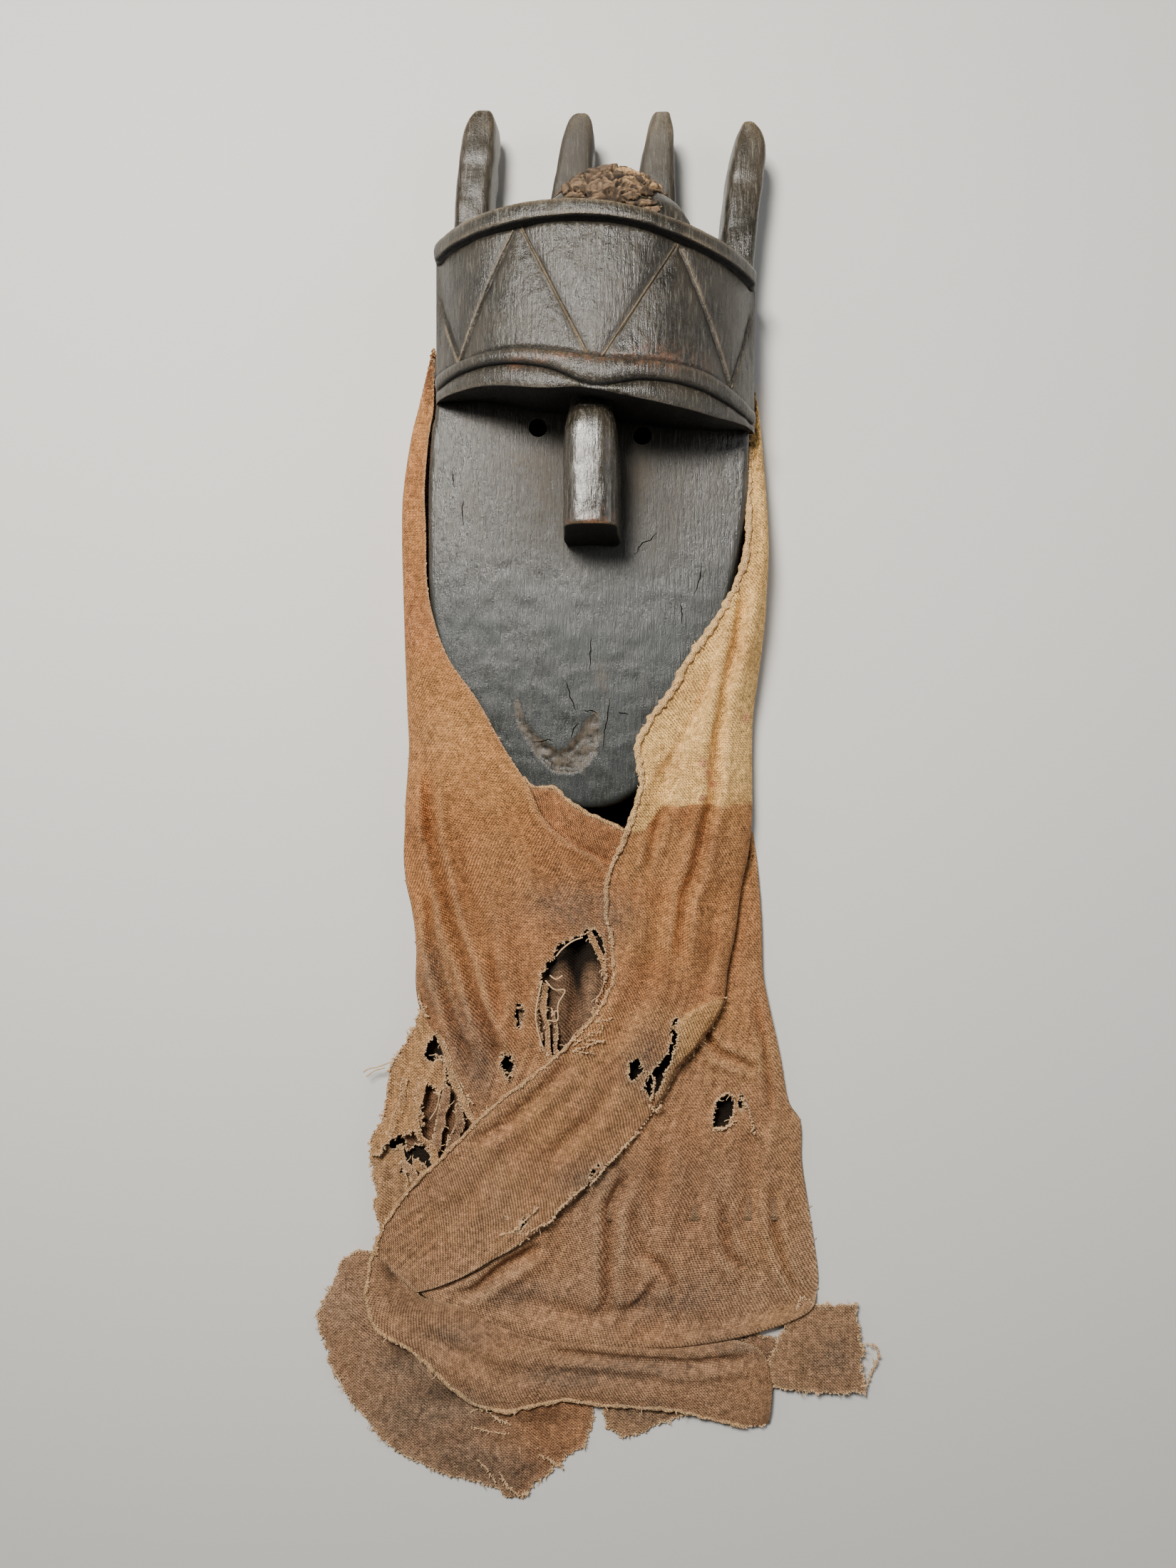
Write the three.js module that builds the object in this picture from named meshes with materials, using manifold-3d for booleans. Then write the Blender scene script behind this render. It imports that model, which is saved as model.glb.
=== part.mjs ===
// A carved wooden face mask with its worn cotton cape, laid on its back on a flat surface.
// Millimetres, +Z up. The sizes are taken from the mask itself: X = 0 on its midline,
// Y = 0 at the tip of the chin, Z = 0 on the surface below. Three pieces are built: the
// mask, carved from one block, the dried crust on its crown, and the one long cloth.
import * as THREE from 'three';
import { mergeVertices } from 'three/addons/utils/BufferGeometryUtils.js';
import Module from 'manifold-3d';

const wasm = await Module();
wasm.setup();

// Face board
const BOARD_BACK = 3.4;
const BOARD_FRONT = 50;
const BOARD_SWELL = 4;
const LEFT_HALF = 123.8;
const RIGHT_HALF = 123.9;
const LEFT_SPRING = 190;
const RIGHT_SPRING = 245;
const EDGE_ROUND = 5;
const WALL = 15;
const FACE_WALL = 17;

// Crown box
const CROWN_MIDDLE = 5.6;
const CROWN_HALF = 122.8;
const CROWN_RISE = 80;
const CROWN_ROOT = 20;
const ROOT_SHARE = 0.97;
const CROWN_WALL = 24;
const UNDERCUT = 8;
const CROWN_COLUMNS = 54;
const RIDGE_DEPTH = 2.6;
const RIDGE_SPREAD = 5;
const FADE_AT_ENDS = 0.12;

// Nose and eyes
const NOSE_MIDDLE = 2;
const NOSE_FRONT = 112;
const NOSE_HALF = 20;
const NOSE_FOOT = 25;
const NOSE_END = 201.6;
const NOSE_SLANT = 4;
const EYES = [[-38.5, 292.9], [41.8, 286.9]];
const EYE_RADIUS = 7.15;

// Mound on the crown
const DOME = { x: 17, y: 424, z: 84, wide: 60, tall: 38, deep: 33 };
const CRUST = { wide: 50, tall: 49.5, deep: 31, foot: 444 };
const CRUST_LUMP = 1.6;

// Cloth
const LAYER = 3;
const FLAP = 5;
const CLEAR_SIDE = 1.2;
const CLEAR_FACE = 0.6;

const material = (color, roughness) => new THREE.MeshStandardMaterial({ color, roughness, metalness: 0 });
const darkWood = material(0x2b2420, 0.42);
const driedCrust = material(0x8f6f4c, 0.95);
const brownCotton = material(0x96683f, 0.95);

// A smooth curve through a few [x, value] pairs, level at both ends.
function through(...pairs) {
  return (x) => {
    if (x <= pairs[0][0]) return pairs[0][1];
    for (let i = 1; i < pairs.length; i++) {
      const [x0, y0] = pairs[i - 1];
      const [x1, y1] = pairs[i];
      if (x > x1) continue;
      const t = (x - x0) / (x1 - x0);
      const before = pairs[i - 2] ?? pairs[i - 1];
      const after = pairs[i + 1] ?? pairs[i];
      const m0 = ((y1 - before[1]) / (x1 - before[0])) * (x1 - x0);
      const m1 = ((after[1] - y0) / (after[0] - x0)) * (x1 - x0);
      const t2 = t * t;
      const t3 = t2 * t;
      return (2 * t3 - 3 * t2 + 1) * y0 + (t3 - 2 * t2 + t) * m0 + (3 * t2 - 2 * t3) * y1 + (t3 - t2) * m1;
    }
    return pairs[pairs.length - 1][1];
  };
}

// Solids: every form below becomes one of these, and only these are joined and cut.
function solid(points, faces) {
  const turned = volume(points, faces) < 0;
  const triVerts = new Uint32Array(faces.flatMap(([a, b, c]) => (turned ? [a, c, b] : [a, b, c])));
  return new wasm.Manifold(new wasm.Mesh({ numProp: 3, vertProperties: new Float32Array(points.flat()), triVerts }));
}

function volume(points, faces) {
  let sum = 0;
  for (const [a, b, c] of faces) {
    const [ax, ay, az] = points[a];
    const [bx, by, bz] = points[b];
    const [cx, cy, cz] = points[c];
    sum += ax * (by * cz - bz * cy) - ay * (bx * cz - bz * cx) + az * (bx * cy - by * cx);
  }
  return sum / 6;
}

function fromGeometry(geometry) {
  const bare = geometry.index ? geometry.clone() : geometry;
  bare.deleteAttribute('normal');
  bare.deleteAttribute('uv');
  const merged = mergeVertices(bare);
  const place = merged.attributes.position;
  const points = Array.from({ length: place.count }, (_, i) => [place.getX(i), place.getY(i), place.getZ(i)]);
  const index = merged.index.array;
  const faces = [];
  for (let i = 0; i < index.length; i += 3) {
    const face = [index[i], index[i + 1], index[i + 2]];
    if (new Set(face).size === 3) faces.push(face);
  }
  return solid(points, faces);
}

function node(name, form, look) {
  const { numProp, vertProperties, triVerts } = form.getMesh();
  const places = new Float32Array((vertProperties.length / numProp) * 3);
  for (let i = 0; i < places.length / 3; i++) {
    for (let k = 0; k < 3; k++) places[i * 3 + k] = vertProperties[i * numProp + k];
  }
  const geometry = new THREE.BufferGeometry();
  geometry.setAttribute('position', new THREE.BufferAttribute(places, 3));
  geometry.setIndex(Array.from(triVerts));
  const flat = geometry.toNonIndexed();
  flat.computeVertexNormals();
  const mesh = new THREE.Mesh(flat, look);
  mesh.name = name;
  return mesh;
}

// A stack of closed rings with the same number of points, flat at its first and last ring.
function stack(rings) {
  const points = rings.flat();
  const count = rings[0].length;
  const faces = [];
  for (let r = 0; r + 1 < rings.length; r++) {
    for (let i = 0; i < count; i++) {
      const a = r * count + i;
      const b = r * count + ((i + 1) % count);
      faces.push([a, b, b + count], [a, b + count, a + count]);
    }
  }
  for (const [ring, start, turn] of [[rings[0], 0, true], [rings.at(-1), points.length - count, false]]) {
    const flatRing = project(ring);
    for (const [a, b, c] of THREE.ShapeUtils.triangulateShape(flatRing, [])) {
      faces.push(turn ? [start + a, start + c, start + b] : [start + a, start + b, start + c]);
    }
  }
  return solid(points, orient(points, faces));
}

// The two axes in which a ring is widest, for triangulating its cap.
function project(ring) {
  const spans = [0, 1, 2].map((k) => Math.max(...ring.map((p) => p[k])) - Math.min(...ring.map((p) => p[k])));
  const thin = spans.indexOf(Math.min(...spans));
  const [u, v] = [0, 1, 2].filter((k) => k !== thin);
  return ring.map((p) => new THREE.Vector2(p[u], p[v]));
}

// Turns each face so that it agrees with its neighbours.
function orient(points, faces) {
  const owners = new Map();
  const key = (a, b) => (a < b ? a * points.length + b : b * points.length + a);
  faces.forEach((face, f) => {
    face.forEach((a, i) => {
      const edge = key(a, face[(i + 1) % 3]);
      owners.set(edge, [...(owners.get(edge) ?? []), f]);
    });
  });
  const runs = (face, a, b) => face.some((p, i) => p === a && face[(i + 1) % 3] === b);
  const done = new Set([0]);
  const queue = [0];
  while (queue.length) {
    const face = faces[queue.pop()];
    for (let i = 0; i < 3; i++) {
      const a = face[i];
      const b = face[(i + 1) % 3];
      for (const other of owners.get(key(a, b))) {
        if (done.has(other)) continue;
        if (runs(faces[other], a, b)) faces[other].reverse();
        done.add(other);
        queue.push(other);
      }
    }
  }
  return faces;
}

// Face board: upright sides, closing below in a long left curve and a longer right one.
const leftSide = through([LEFT_SPRING, LEFT_HALF], [250, LEFT_HALF], [294, 121], [312, 117.2], [425, 117.2]);
const rightSide = through([RIGHT_SPRING, RIGHT_HALF], [294, 125.4], [330, 127.6], [412, 129.5]);

function leftEdge(y) {
  if (y >= LEFT_SPRING) return -leftSide(y);
  const drop = (LEFT_SPRING - y) / LEFT_SPRING;
  return -LEFT_HALF * Math.sqrt(Math.max(0, 1 - drop ** 2));
}

function rightEdge(y) {
  if (y >= RIGHT_SPRING) return rightSide(y);
  const drop = (RIGHT_SPRING - y) / RIGHT_SPRING;
  return RIGHT_HALF * Math.max(0, 1 - drop ** 1.35) ** (1 / 2.25);
}

// The board's outline from its top left corner, down round the chin and up to the right.
function boardRing(top, inset, z) {
  const down = [top, top - 45, 340, 312, 290, 250, 215, 190];
  for (let a = 12; a < 90; a += 8.5) down.push(LEFT_SPRING * (1 - Math.sin((a * Math.PI) / 180)));
  const left = down.map((y) => [leftEdge(y), y]);
  const right = down.map((y) => [rightEdge(y), y]).reverse();
  const outline = [...left, [0, 0], ...right].map(([x, y]) => new THREE.Vector2(x, y));
  return outline.map((p, i) => {
    const before = outline[(i + outline.length - 1) % outline.length];
    const after = outline[(i + 1) % outline.length];
    const along = after.clone().sub(before).normalize();
    return [p.x - along.y * inset, p.y + along.x * inset, z];
  });
}

function board(top, grow, lift) {
  const shrunk = (share, z) => {
    const middle = 250;
    return boardRing(top, EDGE_ROUND, z).map(([x, y]) => [x * share, middle + (y - middle) * share, z]);
  };
  return stack([
    boardRing(top, -grow, BOARD_BACK - (grow ? CLEAR_FACE - 0.2 : 0)),
    boardRing(top, -grow, BOARD_FRONT - EDGE_ROUND),
    boardRing(top, EDGE_ROUND * 0.3 - grow, BOARD_FRONT - EDGE_ROUND * 0.3 + lift),
    boardRing(top, EDGE_ROUND - grow, BOARD_FRONT + lift),
    shrunk(0.7, BOARD_FRONT + BOARD_SWELL * 0.6 + lift),
    shrunk(0.35, BOARD_FRONT + BOARD_SWELL * 0.95 + lift),
  ]);
}

// Crown box: a half-round wall, with its brows, roll, zigzag and rim as lines across it.
const CROWN_RADIUS = (CROWN_HALF ** 2 + CROWN_RISE ** 2) / (2 * CROWN_RISE);
const CROWN_AXIS = BOARD_FRONT + CROWN_RISE - CROWN_RADIUS;
const CROWN_TURN = Math.asin(CROWN_HALF / CROWN_RADIUS);
const browBottom = through([-117, 311.5], [-75, 307], [-33, 298.5], [2, 297], [27, 291.5], [90, 286], [122, 289]);
const rollBottom = through(
  [-117, 320], [-90, 322], [-62, 320], [-28, 312], [-3, 300.5], [12, 299], [40, 304], [80, 303], [122, 294],
);
const rollTop = through([-117, 332], [-64, 331], [-23, 325], [10, 319], [82, 317.5], [124, 305]);
const rimBottom = through([-117, 419], [-54, 417.5], [0, 416], [40, 412], [90, 404], [130, 399.5]);
const rimTop = through([-117, 432], [-50, 431.5], [2, 428.3], [68, 419.5], [125, 412]);
const ZIGZAG = [[-119, 404], [-97.5, 334.4], [-50.5, 416], [4.5, 320], [66.5, 404.5], [108, 314.5], [131, 396]];

// How far a point of the crown's front, given by its arc and height, is from a zigzag line.
function fromZigzag(arc, y) {
  let nearest = Infinity;
  for (let i = 0; i + 1 < ZIGZAG.length; i++) {
    const [a, b] = [ZIGZAG[i], ZIGZAG[i + 1]].map(([x, h]) => new THREE.Vector2(arcOf(x), h));
    const along = b.clone().sub(a);
    const t = THREE.MathUtils.clamp(new THREE.Vector2(arc, y).sub(a).dot(along) / along.lengthSq(), 0, 1);
    nearest = Math.min(nearest, a.add(along.multiplyScalar(t)).distanceTo(new THREE.Vector2(arc, y)));
  }
  return nearest;
}

function arcOf(x) {
  return CROWN_RADIUS * Math.asin(THREE.MathUtils.clamp((x - CROWN_MIDDLE) / CROWN_RADIUS, -0.99, 0.99));
}

// The rows of the front wall at one column: [height, how far it stands out].
function crownRows(x, arc) {
  const [b0, b1, b2, r0, r1] = [browBottom, rollBottom, rollTop, rimBottom, rimTop].map((line) => line(x));
  const between = (from, to, share) => from + (to - from) * share;
  const rows = [
    [b0, -1.5], [between(b0, b1, 0.25), 1.8], [between(b0, b1, 0.6), 2.4], [b1 - 1.2, -0.5], [b1 + 1, -0.5],
    [between(b1, b2, 0.25), 2.8], [between(b1, b2, 0.55), 4.2], [between(b1, b2, 0.85), 2.4], [b2 + 1.2, -1],
  ];
  const panels = 9;
  for (let i = 1; i < panels; i++) {
    const y = between(b2, r0 - 3, i / panels);
    rows.push([y, -RIDGE_DEPTH * (1 - Math.exp(-((fromZigzag(arc, y) / RIDGE_SPREAD) ** 2)))]);
  }
  rows.push([r0 - 3, -1], [r0 - 0.8, -3], [r0 + 0.8, 2.6], [between(r0, r1, 0.5), 4.6], [r1 - 1, 3.6], [r1, 1]);
  return rows;
}

function crown() {
  const points = [];
  const faces = [];
  for (let c = 0; c <= CROWN_COLUMNS; c++) {
    const turn = CROWN_TURN * ((2 * c) / CROWN_COLUMNS - 1);
    const x = CROWN_MIDDLE + CROWN_RADIUS * Math.sin(turn);
    const fade = Math.min(1, (1 - Math.abs(turn) / CROWN_TURN) / FADE_AT_ENDS);
    const rows = crownRows(x, CROWN_RADIUS * turn);
    const root = CROWN_MIDDLE + (x - CROWN_MIDDLE) * ROOT_SHARE;
    points.push([root, rows[0][0] + UNDERCUT, CROWN_ROOT]);
    for (const [y, out] of rows) {
      const reach = CROWN_RADIUS + out * fade;
      points.push([CROWN_MIDDLE + reach * Math.sin(turn), y, CROWN_AXIS + reach * Math.cos(turn)]);
    }
    points.push([root, rows.at(-1)[0] - 1, CROWN_ROOT]);
  }
  const ring = points.length / (CROWN_COLUMNS + 1);
  for (let c = 0; c < CROWN_COLUMNS; c++) {
    for (let r = 0; r < ring; r++) {
      const a = c * ring + r;
      const b = c * ring + ((r + 1) % ring);
      faces.push([a, b, b + ring], [a, b + ring, a + ring]);
    }
  }
  for (const start of [0, CROWN_COLUMNS * ring]) {
    for (let r = 1; r + 1 < ring; r++) faces.push([start, start + r, start + r + 1]);
  }
  return solid(points, orient(points, faces));
}

// Nose: a straight bar with a rounded front, its lower end cut off at a slight slant.
function nose() {
  const section = (y, half, front, slant) => {
    const ring = [[NOSE_MIDDLE + NOSE_FOOT, y, 40], [NOSE_MIDDLE + half, y + slant * 0.7, front - 14]];
    for (let a = 20; a <= 160; a += 20) {
      const turn = (a * Math.PI) / 180;
      ring.push([NOSE_MIDDLE + half * Math.cos(turn), y + slant, front - 14 + 14 * Math.sin(turn)]);
    }
    ring.push([NOSE_MIDDLE - half, y + slant * 0.7, front - 14], [NOSE_MIDDLE - NOSE_FOOT + 3, y, 40]);
    return ring;
  };
  return stack([
    section(NOSE_END, NOSE_HALF - 1.5, NOSE_FRONT - 1.5, NOSE_SLANT),
    section(NOSE_END + 2, NOSE_HALF, NOSE_FRONT, NOSE_SLANT),
    section(262, NOSE_HALF, NOSE_FRONT, 0),
    section(286, NOSE_HALF - 2, NOSE_FRONT - 1, 0),
    section(303, NOSE_HALF - 6, NOSE_FRONT - 6, 0),
  ]);
}

// Horns: [height, left edge, right edge] up each one, and the depth from back to front.
const HORNS = [
  [[412, -106, -76], [462, -104.5, -77], [500, -101.8, -74], [525, -98, -72.5], [537, -93.5, -72.8], [545.6, -86, -76]],
  [[412, -33, 2], [475, -29.5, 2], [500, -24.5, 2.4], [525, -19.3, 3.2], [537, -15, 2.4], [542.8, -8.5, -1.5]],
  [[412, 32, 67], [480, 38.5, 68.2], [508, 43, 68], [530, 47.5, 66.8], [541, 50.2, 64.6], [544.5, 51.5, 64]],
  [[405, 101, 128], [455, 106, 132.4], [490, 110, 137], [512, 113.6, 139], [527, 117.6, 136], [536.7, 121.5, 127]],
];
const HORN_BACK = 10;
const HORN_FACE = 46;
const HORN_CORNER = 3;

function horn(rows) {
  return stack(rows.map(([y, left, right], i) => {
    const thin = (i / (rows.length - 1)) * 5;
    const [back, front] = [HORN_BACK + thin * 1.4, HORN_FACE - thin * 0.4];
    const inner = left + right > 0 ? [-3, 0] : [0, 3];
    const c = Math.min(HORN_CORNER, (right - left) / 4);
    return [
      [left + c, y, front], [right - c, y, front], [right, y, front - c], [right + inner[1], y, back + c],
      [right - c, y, back], [left + c, y, back], [left + inner[0], y, back + c], [left, y, front - c],
    ];
  }));
}

function ball(at, wide, tall, deep, around, down, lump) {
  const geometry = new THREE.SphereGeometry(1, around, down);
  const place = geometry.attributes.position;
  for (let i = 0; i < place.count; i++) {
    const [x, y, z] = [place.getX(i), place.getY(i), place.getZ(i)];
    const rough = lump * Math.sin(7 * x + 2) * Math.sin(6 * z + 1) + lump * 0.6 * Math.sin(11 * y + 5 * x);
    place.setXYZ(i, at.x + x * (wide + rough), at.y + y * (tall + rough), at.z + z * (deep + rough));
  }
  return fromGeometry(geometry);
}

function prism(outline, low, high) {
  return stack([low, high].map((z) => outline.map(([x, y]) => [x, y, z])));
}

// Hollow back: a pocket behind the face, deeper inside the crown.
function hollow() {
  const pocket = stack([boardRing(404, WALL, -1), boardRing(404, WALL + 4, BOARD_FRONT - FACE_WALL)]);
  const arch = [];
  const reach = CROWN_RADIUS - CROWN_WALL;
  for (let a = -50; a <= 50; a += 10) {
    const turn = (a * Math.PI) / 180;
    arch.push([CROWN_MIDDLE + reach * Math.sin(turn), CROWN_AXIS + reach * Math.cos(turn)]);
  }
  const face = [[arch[0][0], 0], ...arch, [arch.at(-1)[0], 0]];
  return pocket.add(stack([322, 398].map((y) => face.map(([x, z]) => [x, y, z]))));
}

function eyeHole([x, y]) {
  const outline = Array.from({ length: 20 }, (_, i) => {
    const turn = (i * Math.PI) / 10;
    return [x + EYE_RADIUS * Math.cos(turn), y + EYE_RADIUS * Math.sin(turn)];
  });
  return prism(outline, 20, BOARD_FRONT + 10);
}

function carveMask() {
  let block = board(412, 0, 0).add(crown()).add(nose());
  for (const rows of HORNS) block = block.add(horn(rows));
  block = block.add(ball(DOME, DOME.wide, DOME.tall, DOME.deep, 28, 14, 0));
  block = block.subtract(hollow());
  for (const eye of EYES) block = block.subtract(eyeHole(eye));
  return block;
}

function cakeCrust() {
  const gap = 0.4;
  const cake = ball(DOME, CRUST.wide, CRUST.tall, CRUST.deep, 30, 18, CRUST_LUMP);
  const seat = ball(DOME, DOME.wide + gap, DOME.tall + gap, DOME.deep + gap, 28, 14, 0);
  const below = prism([[-200, 300], [200, 300], [200, CRUST.foot], [-200, CRUST.foot]], -50, 200);
  return cake.subtract(below).subtract(seat);
}

// Cloth panels. Each row runs from one edge to the other: [x, y, z] to [x, y, z].
const LEFT_PANEL = [
  [[-127, 371, 4], [-124, 361, 18]], [[-145, 309, 4], [-124, 299, 34]], [[-151, 239, 4], [-124, 230, 40]],
  [[-151, 158, 4], [-118, 152, 44]], [[-150, 89, 4], [-88, 85, 55]], [[-151, 19, 4], [-44, 16, 56]],
  [[-152, -39, 4], [2, -34, 44]], [[-141, -114, 4], [30, -93, 36]], [[-141, -172, 4], [25, -150, 30]],
  [[-161, -213, 4], [-20, -213, 24]], [[-178, -282, 4], [-77, -266, 18]], [[-168, -337, 4], [-135, -320, 12]],
];
const RIGHT_PANEL = [
  [[134, 331, 4], [130, 326, 16]], [[146, 253, 4], [125, 247, 40]], [[145, 204, 4], [121, 201, 50]],
  [[142, 152, 4], [98, 147, 57]], [[138, 100, 4], [62, 90, 59]], [[135, 48, 4], [38, 49, 59]],
  [[133, 7, 6], [39, 14, 56]], [[133, -33, 10], [25, -25, 50]], [[124, -75, 18], [13, -70, 44]],
  [[111, -134, 24], [16, -120, 38]], [[70, -170, 28], [-6, -166, 34]], [[39, -235, 27], [-37, -206, 30]],
  [[8, -289, 25], [-77, -245, 26]], [[-32, -337, 20], [-122, -288, 22]], [[-89, -364, 14], [-158, -330, 16]],
  [[-144, -381, 9], [-177, -363, 12]],
];
const SKIRT = [
  [[136, -16, 4], [121, -10, 4]], [[143, -91, 4], [100, -90, 14]], [[152, -161, 4], [65, -163, 18]],
  [[166, -239, 4], [25, -231, 20]], [[178, -294, 4], [-9, -288, 20]], [[186, -352, 4], [-72, -335, 16]],
  [[186, -401, 4], [-147, -366, 10]], [[150, -428, 5], [-175, -397, 7]], [[113, -447, 5], [-171, -418, 6]],
];
const BACK_LAYER = [
  [[-119, 363, LAYER], [125, 326, LAYER]], [[-137, 309, LAYER], [135, 290, LAYER]],
  [[-143, 239, LAYER], [138, 253, LAYER]], [[-143, 158, LAYER], [134, 152, LAYER]],
  [[-142, 89, LAYER], [130, 100, LAYER]], [[-143, 19, LAYER], [127, 7, LAYER]],
  [[-144, -39, LAYER], [125, -40, LAYER]], [[-132, -110, LAYER], [108, -110, LAYER]],
];
const HEM_STRIP = [
  [[-170, -412, 4], [-160, -398, 7]], [[-140, -440, 4], [-128, -405, 7]], [[-100, -471, 4], [-82, -414, 7]],
  [[-60, -486, 4], [-44, -424, 7]], [[-15, -477, 4], [2, -430, 7]], [[43, -485, 4], [43, -434, 7]],
  [[101, -493, 4], [90, -436, 7]], [[146, -499, 4], [140, -446, 6]],
];
const CHIN_TURN = [
  [[-70, 8, 52], [-44, 15, 55]], [[-50, -20, 48], [-25, 12, 54]], [[-30, -35, 46], [-8, -3, 50]],
  [[-8, -45, 42], [14, -11, 46]], [[12, -55, 40], [28, -20, 43]],
];
const FLOOR_FLAP = [
  [-170, -370], [-186, -359], [-200, -369], [-212, -387], [-221, -407], [-217, -445], [-203, -479], [-177, -508],
  [-148, -537], [-102, -552], [-84, -552], [-76, -561], [-61, -566], [-47, -552], [-15, -529], [2, -500],
  [4, -470], [-60, -440], [-150, -400],
];
const CORNER_FLAP = [
  [173, -400], [217, -403], [221, -434], [236, -436], [236, -444], [222, -446], [224, -465], [220, -479],
  [176, -474], [140, -469], [128, -445], [150, -415],
];
const TORN_END = [[5, -470], [5, -485], [11, -508], [26, -513], [37, -511], [63, -503], [101, -488], [101, -470]];
const BIG_TEAR = [[-28, -116], [-10, -92], [4, -95], [12, -124], [0, -168], [-26, -200], [-38, -190], [-38, -140]];
const TEAR_FLOOR = 9;
const FOLD_HEIGHT = 2.2;

// A filled panel on the surface, its top rounded up from the outer edge and gently folded.
function panel(rows, lengths, columns, folds) {
  const [outer, inner] = [0, 1].map((k) => new THREE.CatmullRomCurve3(rows.map((row) => new THREE.Vector3(...row[k]))));
  const points = [];
  const faces = [];
  for (let r = 0; r <= lengths; r++) {
    const a = outer.getPoint(r / lengths);
    const b = inner.getPoint(r / lengths);
    const rise = Math.max(0, b.z - a.z);
    points.push([a.x, a.y, 0]);
    for (let c = 0; c <= columns; c++) {
      const t = c / columns;
      const round = rise > 12 ? Math.sqrt(1 - (1 - Math.min(1, t / 0.55)) ** 2) * 0.82 + 0.18 * t : t;
      const wave = folds ? FOLD_HEIGHT * Math.sin(t * folds * Math.PI * 2 + r * 0.35) * Math.sin(Math.PI * t) : 0;
      const p = a.clone().lerp(b, t);
      points.push([p.x, p.y, Math.max(LAYER, a.z + (b.z - a.z) * round + wave)]);
    }
    points.push([b.x, b.y, 0]);
  }
  const ring = columns + 3;
  for (let r = 0; r < lengths; r++) {
    for (let c = 0; c < ring; c++) {
      const a = r * ring + c;
      const b = r * ring + ((c + 1) % ring);
      faces.push([a, b, b + ring], [a, b + ring, a + ring]);
    }
  }
  for (const start of [0, lengths * ring]) {
    for (let c = 1; c + 1 < ring; c++) faces.push([start, start + c, start + c + 1]);
  }
  return solid(points, orient(points, faces));
}

function layCloth() {
  let cloth = panel(BACK_LAYER, 10, 1, 0)
    .add(panel(LEFT_PANEL, 26, 10, 2.5))
    .add(panel(RIGHT_PANEL, 32, 10, 2))
    .add(panel(SKIRT, 18, 12, 3))
    .add(panel(HEM_STRIP, 12, 3, 0))
    .add(panel(CHIN_TURN, 6, 3, 0));
  for (const outline of [FLOOR_FLAP, CORNER_FLAP, TORN_END]) cloth = cloth.add(prism(outline, 0, FLAP));
  cloth = cloth.subtract(prism(BIG_TEAR, TEAR_FLOOR, 100));
  return cloth.subtract(board(470, CLEAR_SIDE, CLEAR_FACE));
}

const toma = new THREE.Group();
toma.add(
  node('mask', carveMask(), darkWood),
  node('crown_crust', cakeCrust(), driedCrust),
  node('cloth', layCloth(), brownCotton),
);

// The origin is the middle of the whole object, on the surface below it.
const reach = new THREE.Box3().setFromObject(toma);
const middle = reach.getCenter(new THREE.Vector3());
toma.position.set(-middle.x, -middle.y, -reach.min.z);

export default toma;
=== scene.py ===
from itertools import product

import bpy
import numpy as np
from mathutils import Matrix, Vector


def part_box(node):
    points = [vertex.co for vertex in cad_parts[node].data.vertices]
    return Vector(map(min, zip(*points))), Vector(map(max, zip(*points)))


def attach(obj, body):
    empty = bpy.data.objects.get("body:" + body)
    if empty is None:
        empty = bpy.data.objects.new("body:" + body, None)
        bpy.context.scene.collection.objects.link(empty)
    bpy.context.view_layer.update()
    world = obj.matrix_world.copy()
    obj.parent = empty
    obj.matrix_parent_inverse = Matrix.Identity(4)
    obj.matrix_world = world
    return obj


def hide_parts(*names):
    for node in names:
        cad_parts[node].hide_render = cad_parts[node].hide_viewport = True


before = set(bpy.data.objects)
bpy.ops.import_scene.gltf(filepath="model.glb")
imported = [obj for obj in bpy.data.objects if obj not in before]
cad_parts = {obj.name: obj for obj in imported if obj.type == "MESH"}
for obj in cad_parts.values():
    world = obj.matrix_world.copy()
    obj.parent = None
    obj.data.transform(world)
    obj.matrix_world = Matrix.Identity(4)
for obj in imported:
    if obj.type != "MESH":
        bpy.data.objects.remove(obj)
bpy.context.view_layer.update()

# Mask
# One block of dark wood, carved by adze and knife, oiled and handled until it shines. Each form
# is shaped on its own, all are joined into one skin, and the back and the eyes are cut out.
BOARD_BACK = 3.4
BOARD_FRONT = 50.0
BOARD_SWELL = 4.3
LEFT_HALF = 123.8
RIGHT_HALF = 123.9
LEFT_SPRING = 190.0
RIGHT_SPRING = 245.0
EDGE_ROUND = 6.0
WALL = 15.0
FACE_WALL = 17.0
ADZE_CUT = 15.0
ADZE_DEPTH = 0.8
CROWN_MIDDLE = 5.6
CROWN_HALF = 122.8
CROWN_RISE = 80.0
CROWN_ROOT = 20.0
CROWN_WALL = 24.0
UNDERCUT = 8.0
PANEL_LEVEL = -2.2
NOSE_MIDDLE = 2.0
NOSE_FRONT = 112.0
NOSE_HALF = 20.0
NOSE_END = 201.6
NOSE_SLANT = 4.0
EYES = [(-38.5, 292.9), (41.8, 286.9)]
EYE_RADIUS = 7.15
DOME_AT = np.array([17.0, 424.0, 84.0])
DOME_SIZE = np.array([60.0, 38.0, 33.0])

mask_low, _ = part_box("mask")
CHIN_AT = np.array([mask_low.x * 1000 + 124.0, mask_low.y * 1000, 0.0])


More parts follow.
